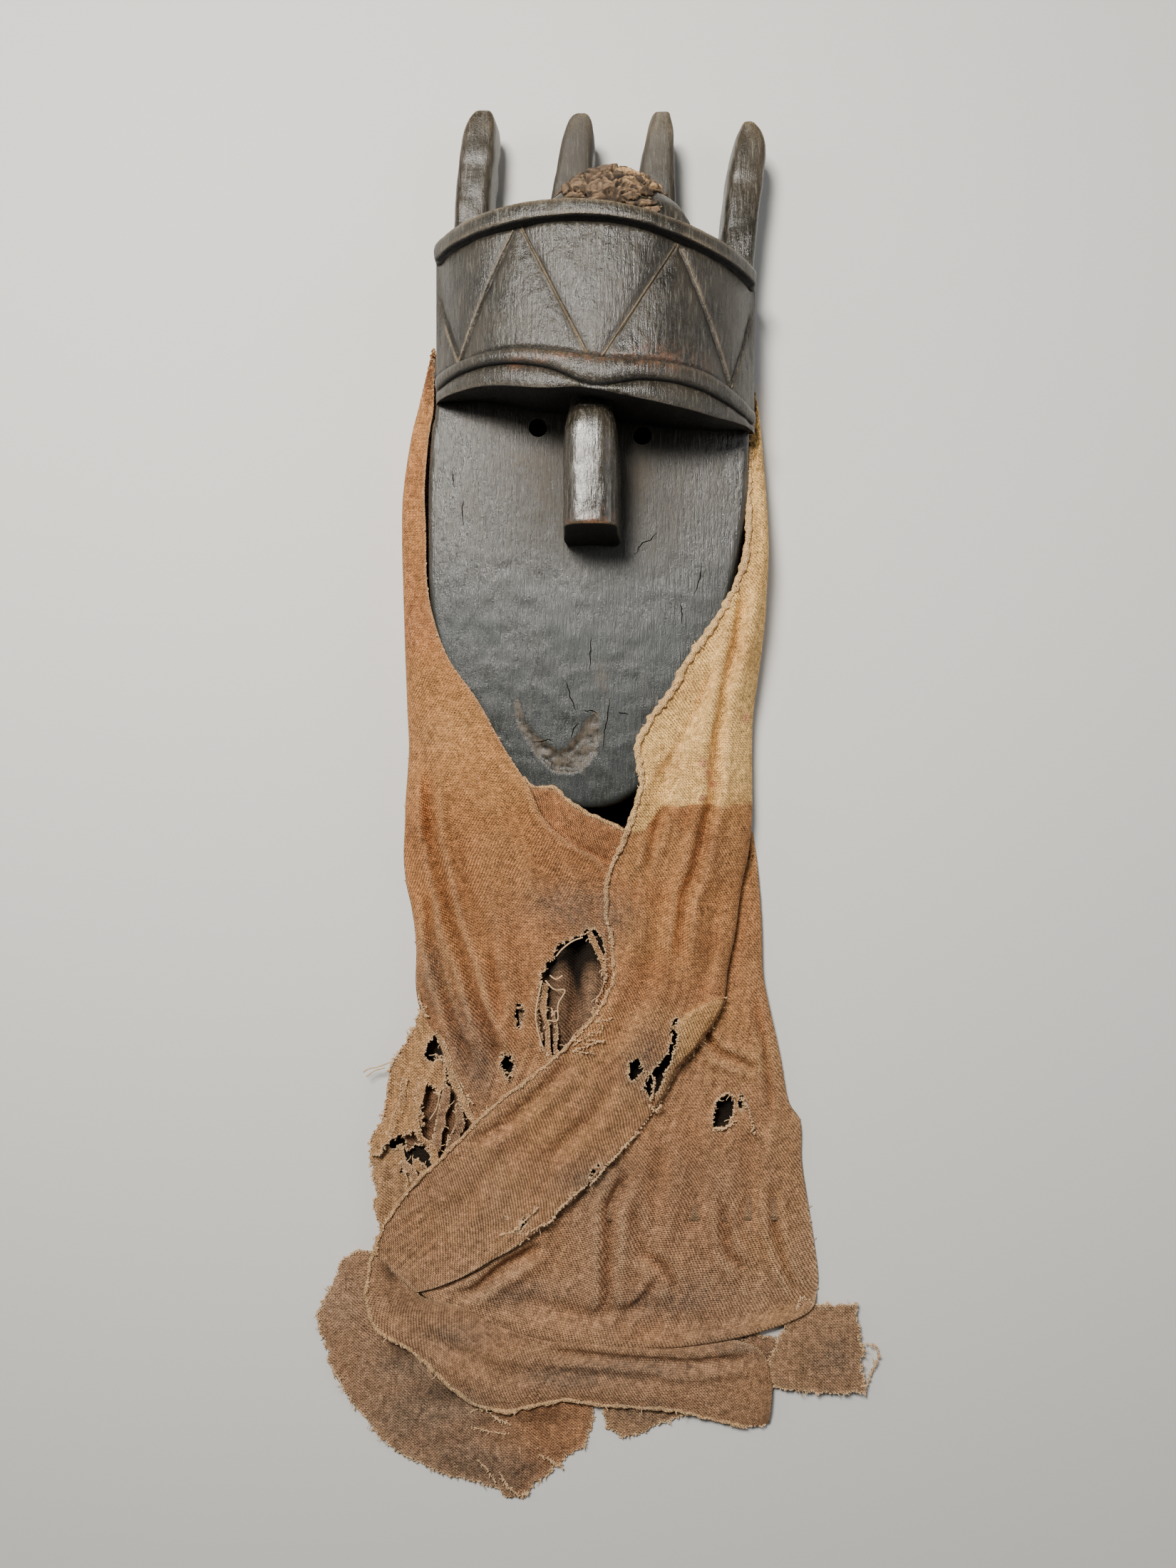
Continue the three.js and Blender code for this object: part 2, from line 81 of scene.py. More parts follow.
def through(*pairs):
    """A smooth curve through a few (x, value) pairs, held level beyond both ends."""
    xs, values = np.array(pairs, float).T
    slopes = np.empty_like(values)
    slopes[1:-1] = (values[2:] - values[:-2]) / (xs[2:] - xs[:-2])
    slopes[0] = (values[1] - values[0]) / (xs[1] - xs[0])
    slopes[-1] = (values[-1] - values[-2]) / (xs[-1] - xs[-2])

    def curve(x):
        x = np.clip(x, xs[0], xs[-1])
        i = np.clip(np.searchsorted(xs, x) - 1, 0, len(xs) - 2)
        width = xs[i + 1] - xs[i]
        t = (x - xs[i]) / width
        start = (2 * t**3 - 3 * t**2 + 1) * values[i] + (t**3 - 2 * t**2 + t) * width * slopes[i]
        return start + (3 * t**2 - 2 * t**3) * values[i + 1] + (t**3 - t**2) * width * slopes[i + 1]

    return curve


def smooth(x, low, high):
    """0 below low, 1 above high and a soft step between them."""
    t = np.clip((x - low) / (high - low), 0, 1)
    return t * t * (3 - 2 * t)


def close(gap, width):
    """1 where a gap is 0, fading away to 0 as it grows past a width."""
    return np.exp(-((gap / width) ** 2))


def lumps(seed, size, x, y, z=0.0):
    """Soft lumps of about the given size, from -1 to 1, the same on each run."""
    x, y, z = np.broadcast_arrays(np.asarray(x, float), y, z)
    spots = np.stack([x, y, z], -1) / size + seed * 7.31
    cell = np.floor(spots).astype(np.int64)
    t = spots - cell
    t = t * t * t * (t * (t * 6 - 15) + 10)
    table = np.random.default_rng(seed).uniform(-1, 1, 4096)
    scatter = (73856093, 19349663, 83492791)
    total = 0.0
    for corner in product((0, 1), repeat=3):
        mixed = (cell + corner) * scatter
        key = mixed[..., 0] ^ mixed[..., 1] ^ mixed[..., 2]
        part = np.where(corner, t, 1 - t)
        total = total + table[key & 4095] * (part[..., 0] * part[..., 1]) * part[..., 2]
    return total


def spots(x, y, places):
    """A share from 0 to 1, full at places given as middle x and y, half width and half height."""
    return np.clip(sum(np.exp(-(((x - a) / w) ** 2) - ((y - b) / h) ** 2) for a, b, w, h in places), 0, 1)


def run_along(line):
    """How far along a line each of its points lies."""
    return np.concatenate([[0], np.cumsum(np.linalg.norm(np.diff(line, axis=0), axis=1))])


def away_from(x, y, line):
    """How far points lie from a line through a few (x, y) places."""
    line = np.asarray(line, float)
    nearest = np.full(np.shape(x), np.inf)
    for (ax, ay), (bx, by) in zip(line[:-1], line[1:]):
        length = max((bx - ax) ** 2 + (by - ay) ** 2, 1e-9)
        t = np.clip(((x - ax) * (bx - ax) + (y - ay) * (by - ay)) / length, 0, 1)
        nearest = np.minimum(nearest, np.hypot(x - ax - t * (bx - ax), y - ay - t * (by - ay)))
    return nearest


def quads(rows, columns, wrap=False):
    """The faces of a grid of points laid row by row; wrap joins the end of each row to its start."""
    index = np.arange(rows * columns).reshape(rows, columns)
    if wrap:
        index = np.hstack([index, index[:, :1]])
    corners = [index[:-1, :-1], index[:-1, 1:], index[1:, 1:], index[1:, :-1]]
    return np.stack(corners, -1).reshape(-1, 4)


def closed_skin(rings):
    """A closed skin over rings of points, each end closed round the middle of its ring."""
    rings = np.asarray(rings, float)
    count, around, _ = rings.shape
    points = np.vstack([rings.reshape(-1, 3), rings[0].mean(0), rings[-1].mean(0)])
    faces = quads(count, around, wrap=True).tolist()
    last = (count - 1) * around
    for i in range(around):
        j = (i + 1) % around
        faces += [[j, i, count * around], [last + i, last + j, count * around + 1]]
    tris = np.array([(f[0], f[k], f[k + 1]) for f in faces for k in range(1, len(f) - 1)])
    a, b, c = (points[tris[:, k]] for k in range(3))
    if np.einsum("ij,ij->i", a, np.cross(b, c)).sum() < 0:
        faces = [f[::-1] for f in faces]
    return points, faces


def shape(name, points, faces):
    """An object with these points, given in millimetres on the mask."""
    mesh = bpy.data.meshes.new(name)
    mesh.from_pydata(((np.asarray(points) + CHIN_AT) / 1000).tolist(), [], faces)
    thing = bpy.data.objects.new(name, mesh)
    bpy.context.scene.collection.objects.link(thing)
    return thing


def points_of(thing):
    """The points of an object, in millimetres on the mask."""
    flat = np.empty(len(thing.data.vertices) * 3, np.float32)
    thing.data.vertices.foreach_get("co", flat)
    return flat.reshape(-1, 3).astype(float) * 1000 - CHIN_AT


def normals_of(thing):
    """Which way the skin of an object faces at each point."""
    flat = np.empty(len(thing.data.vertices) * 3, np.float32)
    thing.data.vertices.foreach_get("normal", flat)
    return flat.reshape(-1, 3)


def carve(block, other, cut):
    """Joins another shape to a block, or cuts it out, and takes the other shape away."""
    step = block.modifiers.new("carve", "BOOLEAN")
    step.operation = "DIFFERENCE" if cut else "UNION"
    step.solver = "MANIFOLD"
    step.object = other
    bpy.context.view_layer.update()
    result = bpy.data.meshes.new_from_object(block.evaluated_get(bpy.context.evaluated_depsgraph_get()))
    block.modifiers.clear()
    block.data = result
    bpy.data.objects.remove(other)


def keep(thing, name, values):
    """Stores a value from 0 to 1 at each point, for the material to read."""
    layer = thing.data.attributes.new(name, "FLOAT", "POINT")
    layer.data.foreach_set("value", np.asarray(values, np.float32))


left_side = through((LEFT_SPRING, LEFT_HALF), (250, LEFT_HALF), (294, 121), (312, 117.2), (425, 117.2))
right_side = through((RIGHT_SPRING, RIGHT_HALF), (294, 125.4), (330, 127.6), (412, 129.5))


def left_edge(y):
    drop = np.clip((LEFT_SPRING - y) / LEFT_SPRING, 0, 1)
    return -np.where(y >= LEFT_SPRING, left_side(y), LEFT_HALF * np.sqrt(1 - drop**2))


def right_edge(y):
    drop = np.clip((RIGHT_SPRING - y) / RIGHT_SPRING, 0, 1)
    return np.where(y >= RIGHT_SPRING, right_side(y), RIGHT_HALF * (1 - drop**1.35) ** (1 / 2.25))


round_chin = LEFT_SPRING * (1 - np.cos(np.linspace(0, np.pi / 2, 90)))
heights = np.concatenate([round_chin, np.linspace(194, 440, 50)])
left_run = np.stack([left_edge(heights), heights], -1)
right_run = np.stack([right_edge(heights), heights], -1)
BOARD_EDGE = np.concatenate([left_run[::-1], right_run])

# The worn scar at the mouth: a groove worn round in a U, deepest at its lower right.
SCAR = [(-55, 82), (-53, 70), (-46, 57), (-34, 43), (-22, 36), (-10, 38), (-2, 48), (3, 62), (6, 73)]
SCAR_HALF = [2.0, 3.0, 4.0, 6.0, 9.0, 11.5, 10.0, 7.0, 2.5]
SCAR_DEPTH = [0.3, 0.7, 1.2, 1.8, 2.4, 2.8, 2.6, 2.0, 0.6]
CRACKS = [
    [(-17, 98), (-14, 88), (-9, 74)], [(2, 131), (2, 120), (1.5, 108)],
    [(17, 86), (15, 70), (13, 60), (11, 46)], [(-42, 51), (-38, 51), (-31, 53), (-27, 51)],
    [(-4, 76), (-1, 74), (3, 76), (7, 73)], [(23, 74), (31, 73)],
    [(36, 195), (40, 203), (47, 206), (53, 212)], [(88, 190), (86, 178), (82, 166)],
    [(-96, 238), (-97, 228), (-95.5, 219)], [(-104, 262), (-104.5, 254), (-103, 248)],
    [(71, 158), (73, 149), (72, 143)], [(-7, 66), (-12, 61), (-13, 55)],
]


def adze_marks(seed, x, y, size):
    """Shallow scoops of uneven size with soft ridges between them, as an adze leaves."""
    x, y = x + 7 * lumps(seed + 2, 23, x, y), y + 7 * lumps(seed + 3, 19, x, y)
    total = 0.0
    sharp = 5.5
    for dx, dy in product((-1, 0, 1), repeat=2):
        cx, cy = np.floor(x / size) + dx, np.floor(y / size) + dy
        at_x = (cx + 0.5 + 0.48 * lumps(seed, 1.0, cx * 3.7, cy * 5.3)) * size
        at_y = (cy + 0.5 + 0.48 * lumps(seed + 1, 1.0, cx * 4.9, cy * 3.1)) * size
        total = total + np.exp(-sharp * ((x - at_x) ** 2 + (y - at_y) ** 2) / size**2)
    return -np.log(total + 1e-6) / sharp


def scar(x, y):
    """How deep the worn scar is, and how far into it a point lies, from 0 to 1."""
    path = np.array(SCAR, float)
    depth = np.zeros(np.shape(x))
    inside = np.zeros(np.shape(x))
    for t in np.linspace(0, len(path) - 1, 60):
        i = min(int(t), len(path) - 2)
        cx, cy = path[i] + (path[i + 1] - path[i]) * (t - i)
        half = np.interp(t, range(len(path)), SCAR_HALF)
        ragged = half * (1 + 0.22 * lumps(5, 5.0, x, y))
        share = np.clip(1.25 - np.hypot(x - cx, y - cy) / ragged, 0, 1)
        inside = np.maximum(inside, smooth(share, 0.15, 0.45))
        depth = np.maximum(depth, np.interp(t, range(len(path)), SCAR_DEPTH) * smooth(share, 0.15, 0.75))
    return depth * (0.85 + 0.25 * lumps(6, 4.5, x, y) + 0.1 * lumps(7, 2.2, x, y)), inside


def board_front(x, y):
    """The front of the face board: swollen, scooped by the adze below and smoother above."""
    edge = away_from(x, y, BOARD_EDGE)
    inner = np.clip(edge, 0, EDGE_ROUND)
    rounded = EDGE_ROUND - np.sqrt(EDGE_ROUND**2 - (EDGE_ROUND - inner) ** 2)
    z = BOARD_FRONT - rounded + BOARD_SWELL * (1 - np.exp(-edge / 45))
    low = 1 - smooth(y, 190, 245)
    inland = smooth(edge, 0, 14)
    z = z + ADZE_DEPTH * (0.12 + 0.88 * low) * inland * adze_marks(11, x, y, ADZE_CUT)
    small = 0.2 * lumps(13, 11, x, y) + 0.08 * lumps(17, 6, x, y)
    z = z + inland * (0.35 * lumps(12, 42, x, y) + low * small)
    z = z + 0.035 * lumps(14, 1.0, x / 3, y / 40)
    return z - scar(x, y)[0]


def build_board():
    tip = [0.3, 0.8, 1.6, 2.8, 4.4, 6.2, 8.2, 10.4, 12.8]
    rows = np.concatenate([tip, np.arange(14, 112, 1.25), np.arange(112, 304, 2.3), [320, 350, 380, 412]])
    across = np.linspace(0, 1, 141)
    across = across - 0.38 * np.sin(2 * np.pi * across) / (2 * np.pi)
    rings = []
    for y in rows:
        left, right = float(left_edge(y)), float(right_edge(y))
        x = left + (right - left) * across
        front = np.stack([x, np.full_like(x, y), board_front(x, np.full_like(x, y))], -1)
        sides = np.linspace(front[0, 2] - 1, BOARD_BACK, 6)
        down = [[right, y, z] for z in sides]
        back = [[right + (left - right) * k / 8, y, BOARD_BACK] for k in range(1, 8)]
        up = [[left, y, z] for z in sides[::-1]]
        rings.append(np.vstack([front, down, back, up]))
    return closed_skin(rings)


# The crown's front is laid out along its arc, with columns that follow the zigzag's lines.
CROWN_RADIUS = (CROWN_HALF**2 + CROWN_RISE**2) / (2 * CROWN_RISE)
CROWN_AXIS = BOARD_FRONT + CROWN_RISE - CROWN_RADIUS
CROWN_ARC = CROWN_RADIUS * np.arcsin(CROWN_HALF / CROWN_RADIUS)
brow_bottom = through((-117, 311.5), (-75, 307), (-33, 298.5), (2, 297), (27, 291.5), (90, 286), (122, 289))
roll_bottom = through(
    (-117, 320), (-90, 322), (-62, 320), (-28, 312), (-3, 300.5), (12, 299), (40, 304), (80, 303),
    (122, 294)
)
roll_top = through((-117, 332), (-64, 331), (-23, 325), (10, 319), (82, 317.5), (124, 305))
rim_bottom = through((-117, 419), (-54, 417.5), (0, 416), (40, 412), (90, 404), (130, 399.5))
rim_top = through((-117, 432), (-50, 431.5), (2, 428.3), (68, 419.5), (125, 412))
CROWN_LINES = [brow_bottom, roll_bottom, roll_top, rim_bottom, rim_top]
ZIGZAG = [
    [(-119, 404), (-97.5, 334.4)], [(-96.6, 334.4), (-54.5, 415)], [(-48.2, 416), (-0.3, 321)],
    [(10.3, 320.5), (63.7, 405)], [(67.7, 402), (107.3, 315)], [(108.3, 314.5), (131, 396)],
]
COLUMNS_BETWEEN = 30


def arc_of(x):
    return CROWN_RADIUS * np.arcsin(np.clip((x - CROWN_MIDDLE) / CROWN_RADIUS, -0.99, 0.99))


def x_of(arc):
    return CROWN_MIDDLE + CROWN_RADIUS * np.sin(arc / CROWN_RADIUS)


def from_zigzag(arc, y):
    """How far points of the crown's front are from the nearest zigzag line."""
    lines = [[(arc_of(x), h) for x, h in line] for line in ZIGZAG]
    return np.min([away_from(arc, y, line) for line in lines], axis=0)


def crown_columns(share):
    """The arcs of all columns at one height between the roll and the rim, from 0 to 1."""
    crossings = [-CROWN_ARC]
    for (xa, ya), (xb, yb) in ZIGZAG:
        t = np.linspace(0, 1, 200)
        arcs = arc_of(xa) + (arc_of(xb) - arc_of(xa)) * t
        low, high = roll_top(x_of(arcs)), rim_bottom(x_of(arcs))
        shares = (ya + (yb - ya) * t - low) / (high - low)
        order = np.argsort(shares)
        crossings.append(float(np.interp(share, shares[order], arcs[order])))
    crossings.append(CROWN_ARC)
    crossings = np.clip(crossings, -CROWN_ARC, CROWN_ARC)
    for k in range(1, 8):
        crossings[k] = max(crossings[k], crossings[k - 1] + 0.7)
    for k in range(6, -1, -1):
        crossings[k] = min(crossings[k], crossings[k + 1] - 0.7)
    crossings[0] = -CROWN_ARC
    t = 0.5 - 0.5 * np.cos(np.pi * np.arange(COLUMNS_BETWEEN) / COLUMNS_BETWEEN)
    spans = [a + (b - a) * t for a, b in zip(crossings[:-1], crossings[1:])]
    return np.append(np.concatenate(spans), CROWN_ARC)


def crown_relief(arc, y):
    """How far the crown's front stands out from its half-round, with brows, roll, panels and rim."""
    x = x_of(arc)
    b0, b1, b2, r0, r1 = (line(x) for line in CROWN_LINES)
    brow = np.clip((y - b0) / np.maximum(b1 - b0, 0.5), 0, 1)
    roll = np.clip((y - b1) / (b2 - b1), 0, 1)
    rim = np.clip((y - r0) / (r1 - r0), 0, 1)
    brow_curve = np.clip(1 - (1.9 * brow - 0.82) ** 2 / 1.25, 0, 1)
    brow_out = -1.2 + 3.8 * np.sqrt(brow_curve) * smooth(b1 - b0, 1, 7)
    roll_out = -0.8 + 4.4 * np.clip(1 - np.abs(2 * roll - 1) ** 2.6, 0, 1) ** 0.5
    line = from_zigzag(arc, y)
    panel_out = PANEL_LEVEL + 1.5 * (1 - close(line, 13)) - 1.1 * close(line, 2.9)
    panel_out = panel_out + 2.1 * close(line, 0.85)
    groove = 2.2 + 0.9 * lumps(27, 9, arc, y)
    panel_out = panel_out - 1.6 * close(y - b2, 2.2) - groove * close(r0 - y, 2.0)
    rim_out = 0.4 + 4.0 * np.clip(1 - (2 * rim - 1) ** 8, 0, 1) ** 0.4 - 0.7 * smooth(rim, 0.5, 1)
    rim_out = rim_out + 0.9 * smooth(x, -20, -14) * (1 - smooth(x, 42, 50))
    out = np.where(y < b1, brow_out, np.where(y < b2, roll_out, np.where(y < r0, panel_out, rim_out)))
    worn = 0.35 * lumps(21, 9, arc, y) + 0.12 * lumps(22, 3, arc, y)
    worn = worn + 0.05 * lumps(23, 1.0, arc / 1.6, y / 22)
    nicks = smooth(lumps(24, 4.5, arc, y * 0.7), 0.45, 0.8)
    return out + worn - 0.9 * nicks * close(y - r0 - 1, 2.2)


def build_crown():
    steps = [("brow", t) for t in (0, 0.08, 0.2, 0.4, 0.6, 0.8, 0.92)]
    steps += [("roll", t) for t in (0, 0.04, 0.12, 0.25, 0.42, 0.6, 0.78, 0.9, 0.97)]
    panel = np.linspace(0, 1, 48)
    steps += [("panel", t) for t in panel - 0.55 * np.sin(2 * np.pi * panel) / (2 * np.pi)]
    steps += [("rim", t) for t in (0.02, 0.08, 0.18, 0.35, 0.5, 0.65, 0.82, 0.93, 1)]
    bounds = dict(zip(("brow", "roll", "panel", "rim"), zip(CROWN_LINES[:-1], CROWN_LINES[1:])))
    evenly = np.linspace(-CROWN_ARC, CROWN_ARC, 7 * COLUMNS_BETWEEN + 1)
    front = []
    for band, t in steps:
        share = {"brow": 0, "roll": 0, "rim": 1}.get(band, t)
        relax = {"brow": 1 - 0.6 * t, "roll": 0.4 * (1 - t), "rim": 0.6 * t}.get(band, 0)
        arc = crown_columns(share) * (1 - relax) + evenly * relax
        low, high = (line(x_of(arc)) for line in bounds[band])
        y = low + (high - low) * t
        fade = np.minimum(1, (1 - np.abs(arc) / CROWN_ARC) / 0.05)
        reach = CROWN_RADIUS + crown_relief(arc, y + 1e-4) * fade
        turn = arc / CROWN_RADIUS
        x, z = CROWN_MIDDLE + reach * np.sin(turn), CROWN_AXIS + reach * np.cos(turn)
        front.append(np.stack([x, y, z], -1))
    front = np.array(front)
    root = front[[0, -1]].copy()
    root[:, :, 0] = CROWN_MIDDLE + (root[:, :, 0] - CROWN_MIDDLE) * 0.97
    root[:, :, 2] = CROWN_ROOT
    root[0, :, 1] += UNDERCUT
    root[1, :, 1] -= 1
    shares = np.array([0, 0.4, 0.7, 0.88, 0.96])[:, None, None]
    under = root[0] + (front[0] - root[0]) * shares
    under[1:, :, 1] += 0.8 * lumps(25, 14, under[1:, :, 0], under[1:, :, 2])
    over = front[-1] + (root[1] - front[-1]) * (1 - shares[::-1])
    over[:-1, :, 1] += 0.7 * lumps(26, 12, over[:-1, :, 0], over[:-1, :, 2])
    rings = np.concatenate([under, front, over]).transpose(1, 0, 2)
    return closed_skin(rings)


def build_nose():
    around = np.linspace(0, 2 * np.pi, 72, endpoint=False)
    c, s = np.cos(around), np.sin(around)
    rings = []
    ends = [(-0.001, 0.55), (0, 0.86), (0.35, 0.94), (1.1, 0.98), (2.4, 1)]
    body = np.concatenate([np.linspace(4, 88, 40), np.linspace(90, 104, 8)])
    for rise, size in ends + [(d, 1) for d in body]:
        y = NOSE_END + rise
        narrow = smooth(y, 270, 306)
        half = (NOSE_HALF - 5.5 * narrow) * (1 - (1 - size) * 0.6)
        front = NOSE_FRONT - 9 * narrow**2 - (1 - size) * 16
        x = np.sign(c) * np.abs(c) ** 0.62 * half
        z = np.where(s > 0, front - 17 + 17 * np.abs(s) ** 0.8, front - 17 + s * (front - 17 - 40))
        low = 1 - smooth(z, 50, 92)
        x = x * (1 + 0.24 * low * np.where(x > 0, 1.6, 0.7))
        slant = NOSE_SLANT * smooth(z, 50, 112) * (1 - smooth(y, 204, 230))
        wave = 0.35 * lumps(31, 11, x, y, z) + 0.12 * lumps(32, 4, x, y / 2, z)
        rings.append(np.stack([NOSE_MIDDLE + x + wave * c, np.full_like(x, y) + slant, z + wave * s], -1))
    return closed_skin(rings)


HORNS = [
    [
        (405, -106, -76), (462, -104.5, -77), (500, -101.8, -74), (525, -98, -72.5), (537, -93.5, -72.8),
        (545.6, -86, -76),
    ],
    [
        (405, -33, 2), (475, -29.5, 2), (500, -24.5, 2.4), (525, -19.3, 3.2), (537, -15, 2.4),
        (542.8, -8.5, -1.5),
    ],
    [
        (405, 32, 67), (480, 38.5, 68.2), (508, 43, 68), (530, 47.5, 66.8), (541, 50.2, 64.6),
        (544.5, 51.5, 64),
    ],
    [
        (400, 101, 128), (455, 106, 132.4), (490, 110, 137), (512, 113.6, 139), (527, 117.6, 136),
        (536.7, 121.5, 127),
    ],
]


def build_horn(number):
    rows = HORNS[number]
    left = through(*[(y, x) for y, x, _ in rows])
    right = through(*[(y, x) for y, _, x in rows])
    top = rows[-1][0]
    around = np.linspace(0, 2 * np.pi, 40, endpoint=False)
    c, s = np.cos(around), np.sin(around)
    near_tip = top - np.array([11, 8, 5.5, 3.5, 2, 0.9, 0.2, 0])
    heights = np.concatenate([np.linspace(rows[0][0], top - 14, 44), near_tip])
    rings = []
    for y in heights:
        thin = (y - rows[0][0]) / (top - rows[0][0])
        end = smooth(y, top - 3, top + 0.4)
        half = (right(y) - left(y)) / 2 * (1 - 0.25 * end)
        middle = (right(y) + left(y)) / 2
        front, back = 46 - 2 * thin - 6 * end, 10 + 7 * thin + 5 * end
        depth = (front - back) / 2
        x = np.sign(c) * np.abs(c) ** 0.42 * half
        z = np.sign(s) * np.abs(s) ** 0.36 * depth
        inner = -3.0 if middle > 0 else 3.0
        towards_inner = np.clip(x * np.sign(inner) / half, 0, 1)
        x = x + inner * towards_inner * (0.5 - 0.5 * z / depth)
        wave = 0.5 * lumps(41 + number, 13, x, y, z) + 0.22 * lumps(51 + number, 5, x, y * 0.6, z)
        x, z = middle + x + wave * c, (front + back) / 2 + z + wave * s
        rings.append(np.stack([x, np.full_like(x, y), z], -1))
    return closed_skin(rings)


def build_ball(at, size, rough, around=96, down=48):
    turn = np.linspace(0, 2 * np.pi, around, endpoint=False)
    rings = []
    for tilt in np.linspace(0.02, np.pi - 0.02, down):
        level = np.full_like(turn, np.cos(tilt))
        unit = np.stack([np.sin(tilt) * np.cos(turn), level, np.sin(tilt) * np.sin(turn)], -1)
        spot = unit * size
        push = rough * lumps(61, 12, *spot.T) + rough * 0.4 * lumps(62, 5, *spot.T)
        rings.append(at + unit * (size + push[:, None]))
    return closed_skin(rings)


def build_pocket():
    rows = np.concatenate([[6, 9, 13, 18], np.linspace(26, 404, 30)])
    rings = []
    for y in rows:
        left, right = float(left_edge(y)) + WALL + 4, float(right_edge(y)) - WALL - 4
        t = np.linspace(-1, 1, 15)
        x = (left + right) / 2 + (right - left) / 2 * t
        roof = BOARD_FRONT - FACE_WALL - 5 * t**4 + 0.6 * lumps(71, 16, x, y)
        top = np.stack([x, np.full_like(x, y), roof], -1)
        low = np.array([[right + 3, y, -1], [left - 3, y, -1]])
        rings.append(np.vstack([top, low]))
    return closed_skin([r for r in rings if r[14, 0] > r[0, 0] + 4])


def build_arch():
    turn = np.radians(np.linspace(-50, 50, 25))
    reach = CROWN_RADIUS - CROWN_WALL
    x, z = CROWN_MIDDLE + reach * np.sin(turn), CROWN_AXIS + reach * np.cos(turn)
    rings = []
    for y in np.linspace(322, 398, 14):
        lift = 0.6 * lumps(72, 14, x, y, z)
        arch = np.stack([x, np.full_like(x, y), z + lift], -1)
        rings.append(np.vstack([arch, [[x[-1], y, 0], [x[0], y, 0]]]))
    return closed_skin(rings)


def build_crack(line):
    """A thin blade that wanders along a line, to cut one drying crack into the board."""
    line = np.array(line, float)
    run = run_along(line)
    at = np.linspace(0, run[-1], int(run[-1] / 1.3) + 4)
    x, y = (np.interp(at, run, line[:, k]) + 0.8 * lumps(74 + k, 3, at, line[0, 0]) for k in range(2))
    way = np.stack([np.gradient(x), np.gradient(y)], -1)
    way /= np.linalg.norm(way, axis=1, keepdims=True)
    half = 0.12 + 0.62 * np.sin(np.pi * np.minimum(at / run[-1], 0.99)) ** 0.6
    top = board_front(x, y) + 2
    left = np.stack([x - way[:, 1] * half, y + way[:, 0] * half, top], -1)
    right = np.stack([x + way[:, 1] * half, y - way[:, 0] * half, top], -1)
    return closed_skin(np.stack([left, right, np.stack([x, y, top - 5], -1)], 1))


def build_eye(x, y):
    turn = np.linspace(0, 2 * np.pi, 40, endpoint=False)
    ring = [x + EYE_RADIUS * np.cos(turn), y + EYE_RADIUS * np.sin(turn)]
    return closed_skin([np.stack([*ring, np.full_like(turn, z)], -1) for z in (20, 52, 60)])


mask = shape("carved_mask", *build_board())
forms = [("crown", build_crown()), ("nose", build_nose()), ("dome", build_ball(DOME_AT, DOME_SIZE, 0.8))]
forms += [(f"horn{number}", build_horn(number)) for number in range(len(HORNS))]
for name, skin in forms:
    carve(mask, shape(name, *skin), cut=False)
cuts = [("pocket", build_pocket()), ("arch", build_arch())]
cuts += [("eye", build_eye(*eye)) for eye in EYES]
cuts += [("crack", build_crack(line)) for line in CRACKS]
for name, skin in cuts:
    carve(mask, shape(name, *skin), cut=True)

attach(mask, "root")
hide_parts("mask")
mask.data.shade_smooth()
mask.data.set_sharp_from_angle(angle=np.radians(38))

BLACK_WOOD = (0.0120, 0.0102, 0.0074, 1)
BROWN_WOOD = (0.040, 0.031, 0.020, 1)
WORN_WOOD = (0.300, 0.225, 0.135, 1)
PALE_GRAIN = (0.120, 0.108, 0.086, 1)
RED_WEAR = (0.130, 0.058, 0.030, 1)
SCAR_WOOD = (0.080, 0.060, 0.040, 1)
GREY_FILM_AND_SHEEN = (0.022, 0.0260, 0.0255, 1)
UNDERSIDE_SHADE_WOOD = (0.0035, 0.0030, 0.0025, 1)


def bulge_of(thing, rounds=3):
    """How much the skin of an object bulges out (above 0) or sinks in (below 0) at each point."""
    mesh = thing.data
    edges = np.empty(len(mesh.edges) * 2, np.int32)
    mesh.edges.foreach_get("vertices", edges)
    a, b = edges.reshape(-1, 2).T
    normals = normals_of(thing)
    points = points_of(thing)
    away = points[b] - points[a]
    length = np.maximum(np.linalg.norm(away, axis=1), 0.05)
    count = len(points)

    def gathered(at_a, at_b):
        return np.bincount(a, at_a, count) + np.bincount(b, at_b, count)

    size = np.maximum(gathered(None, None), 1)
    bend = gathered(-(away * normals[a]).sum(1) / length, (away * normals[b]).sum(1) / length) / size
    for _ in range(rounds):
        bend = (bend + gathered(bend[b], bend[a]) / size) / 2
    return bend


def put(tree, kind, values=None, **settings):
    """Adds a node to a material; values are numbers, colours or the sockets that feed its inputs."""
    node = tree.nodes.new("ShaderNode" + kind)
    for name, setting in settings.items():
        setattr(node, name, setting)
    for socket, value in (values or {}).items():
        if isinstance(value, bpy.types.NodeSocket):
            tree.links.new(value, node.inputs[socket])
        else:
            node.inputs[socket].default_value = value
    return node


def blend(tree, share, first, second):
    """A colour between two, by a share from 0 to 1."""
    return put(tree, "Mix", {0: share, 6: first, 7: second}, data_type="RGBA").outputs[2]


def sum_up(tree, operation, first, second=0.0, third=0.0):
    """The result of a sum on one, two or three values."""
    return put(tree, "Math", {0: first, 1: second, 2: third}, operation=operation).outputs[0]


def fit(tree, value, low, high, new_low=0.0, new_high=1.0):
    """A value brought from one range into another, and held inside it."""
    values = {0: value, 1: low, 2: high, 3: new_low, 4: new_high}
    return put(tree, "MapRange", values, clamp=True).outputs[0]


def speckle(tree, place, stretch, detail=4.0, rough=0.55):
    """Noise, as fine as the number of lumps to the metre that stretch gives along X, Y and Z."""
    spots = put(tree, "VectorMath", {0: place, 1: stretch}, operation="MULTIPLY").outputs[0]
    settings = {"Vector": spots, "Scale": 1.0, "Detail": detail, "Roughness": rough}
    return put(tree, "TexNoise", settings).outputs["Fac"]


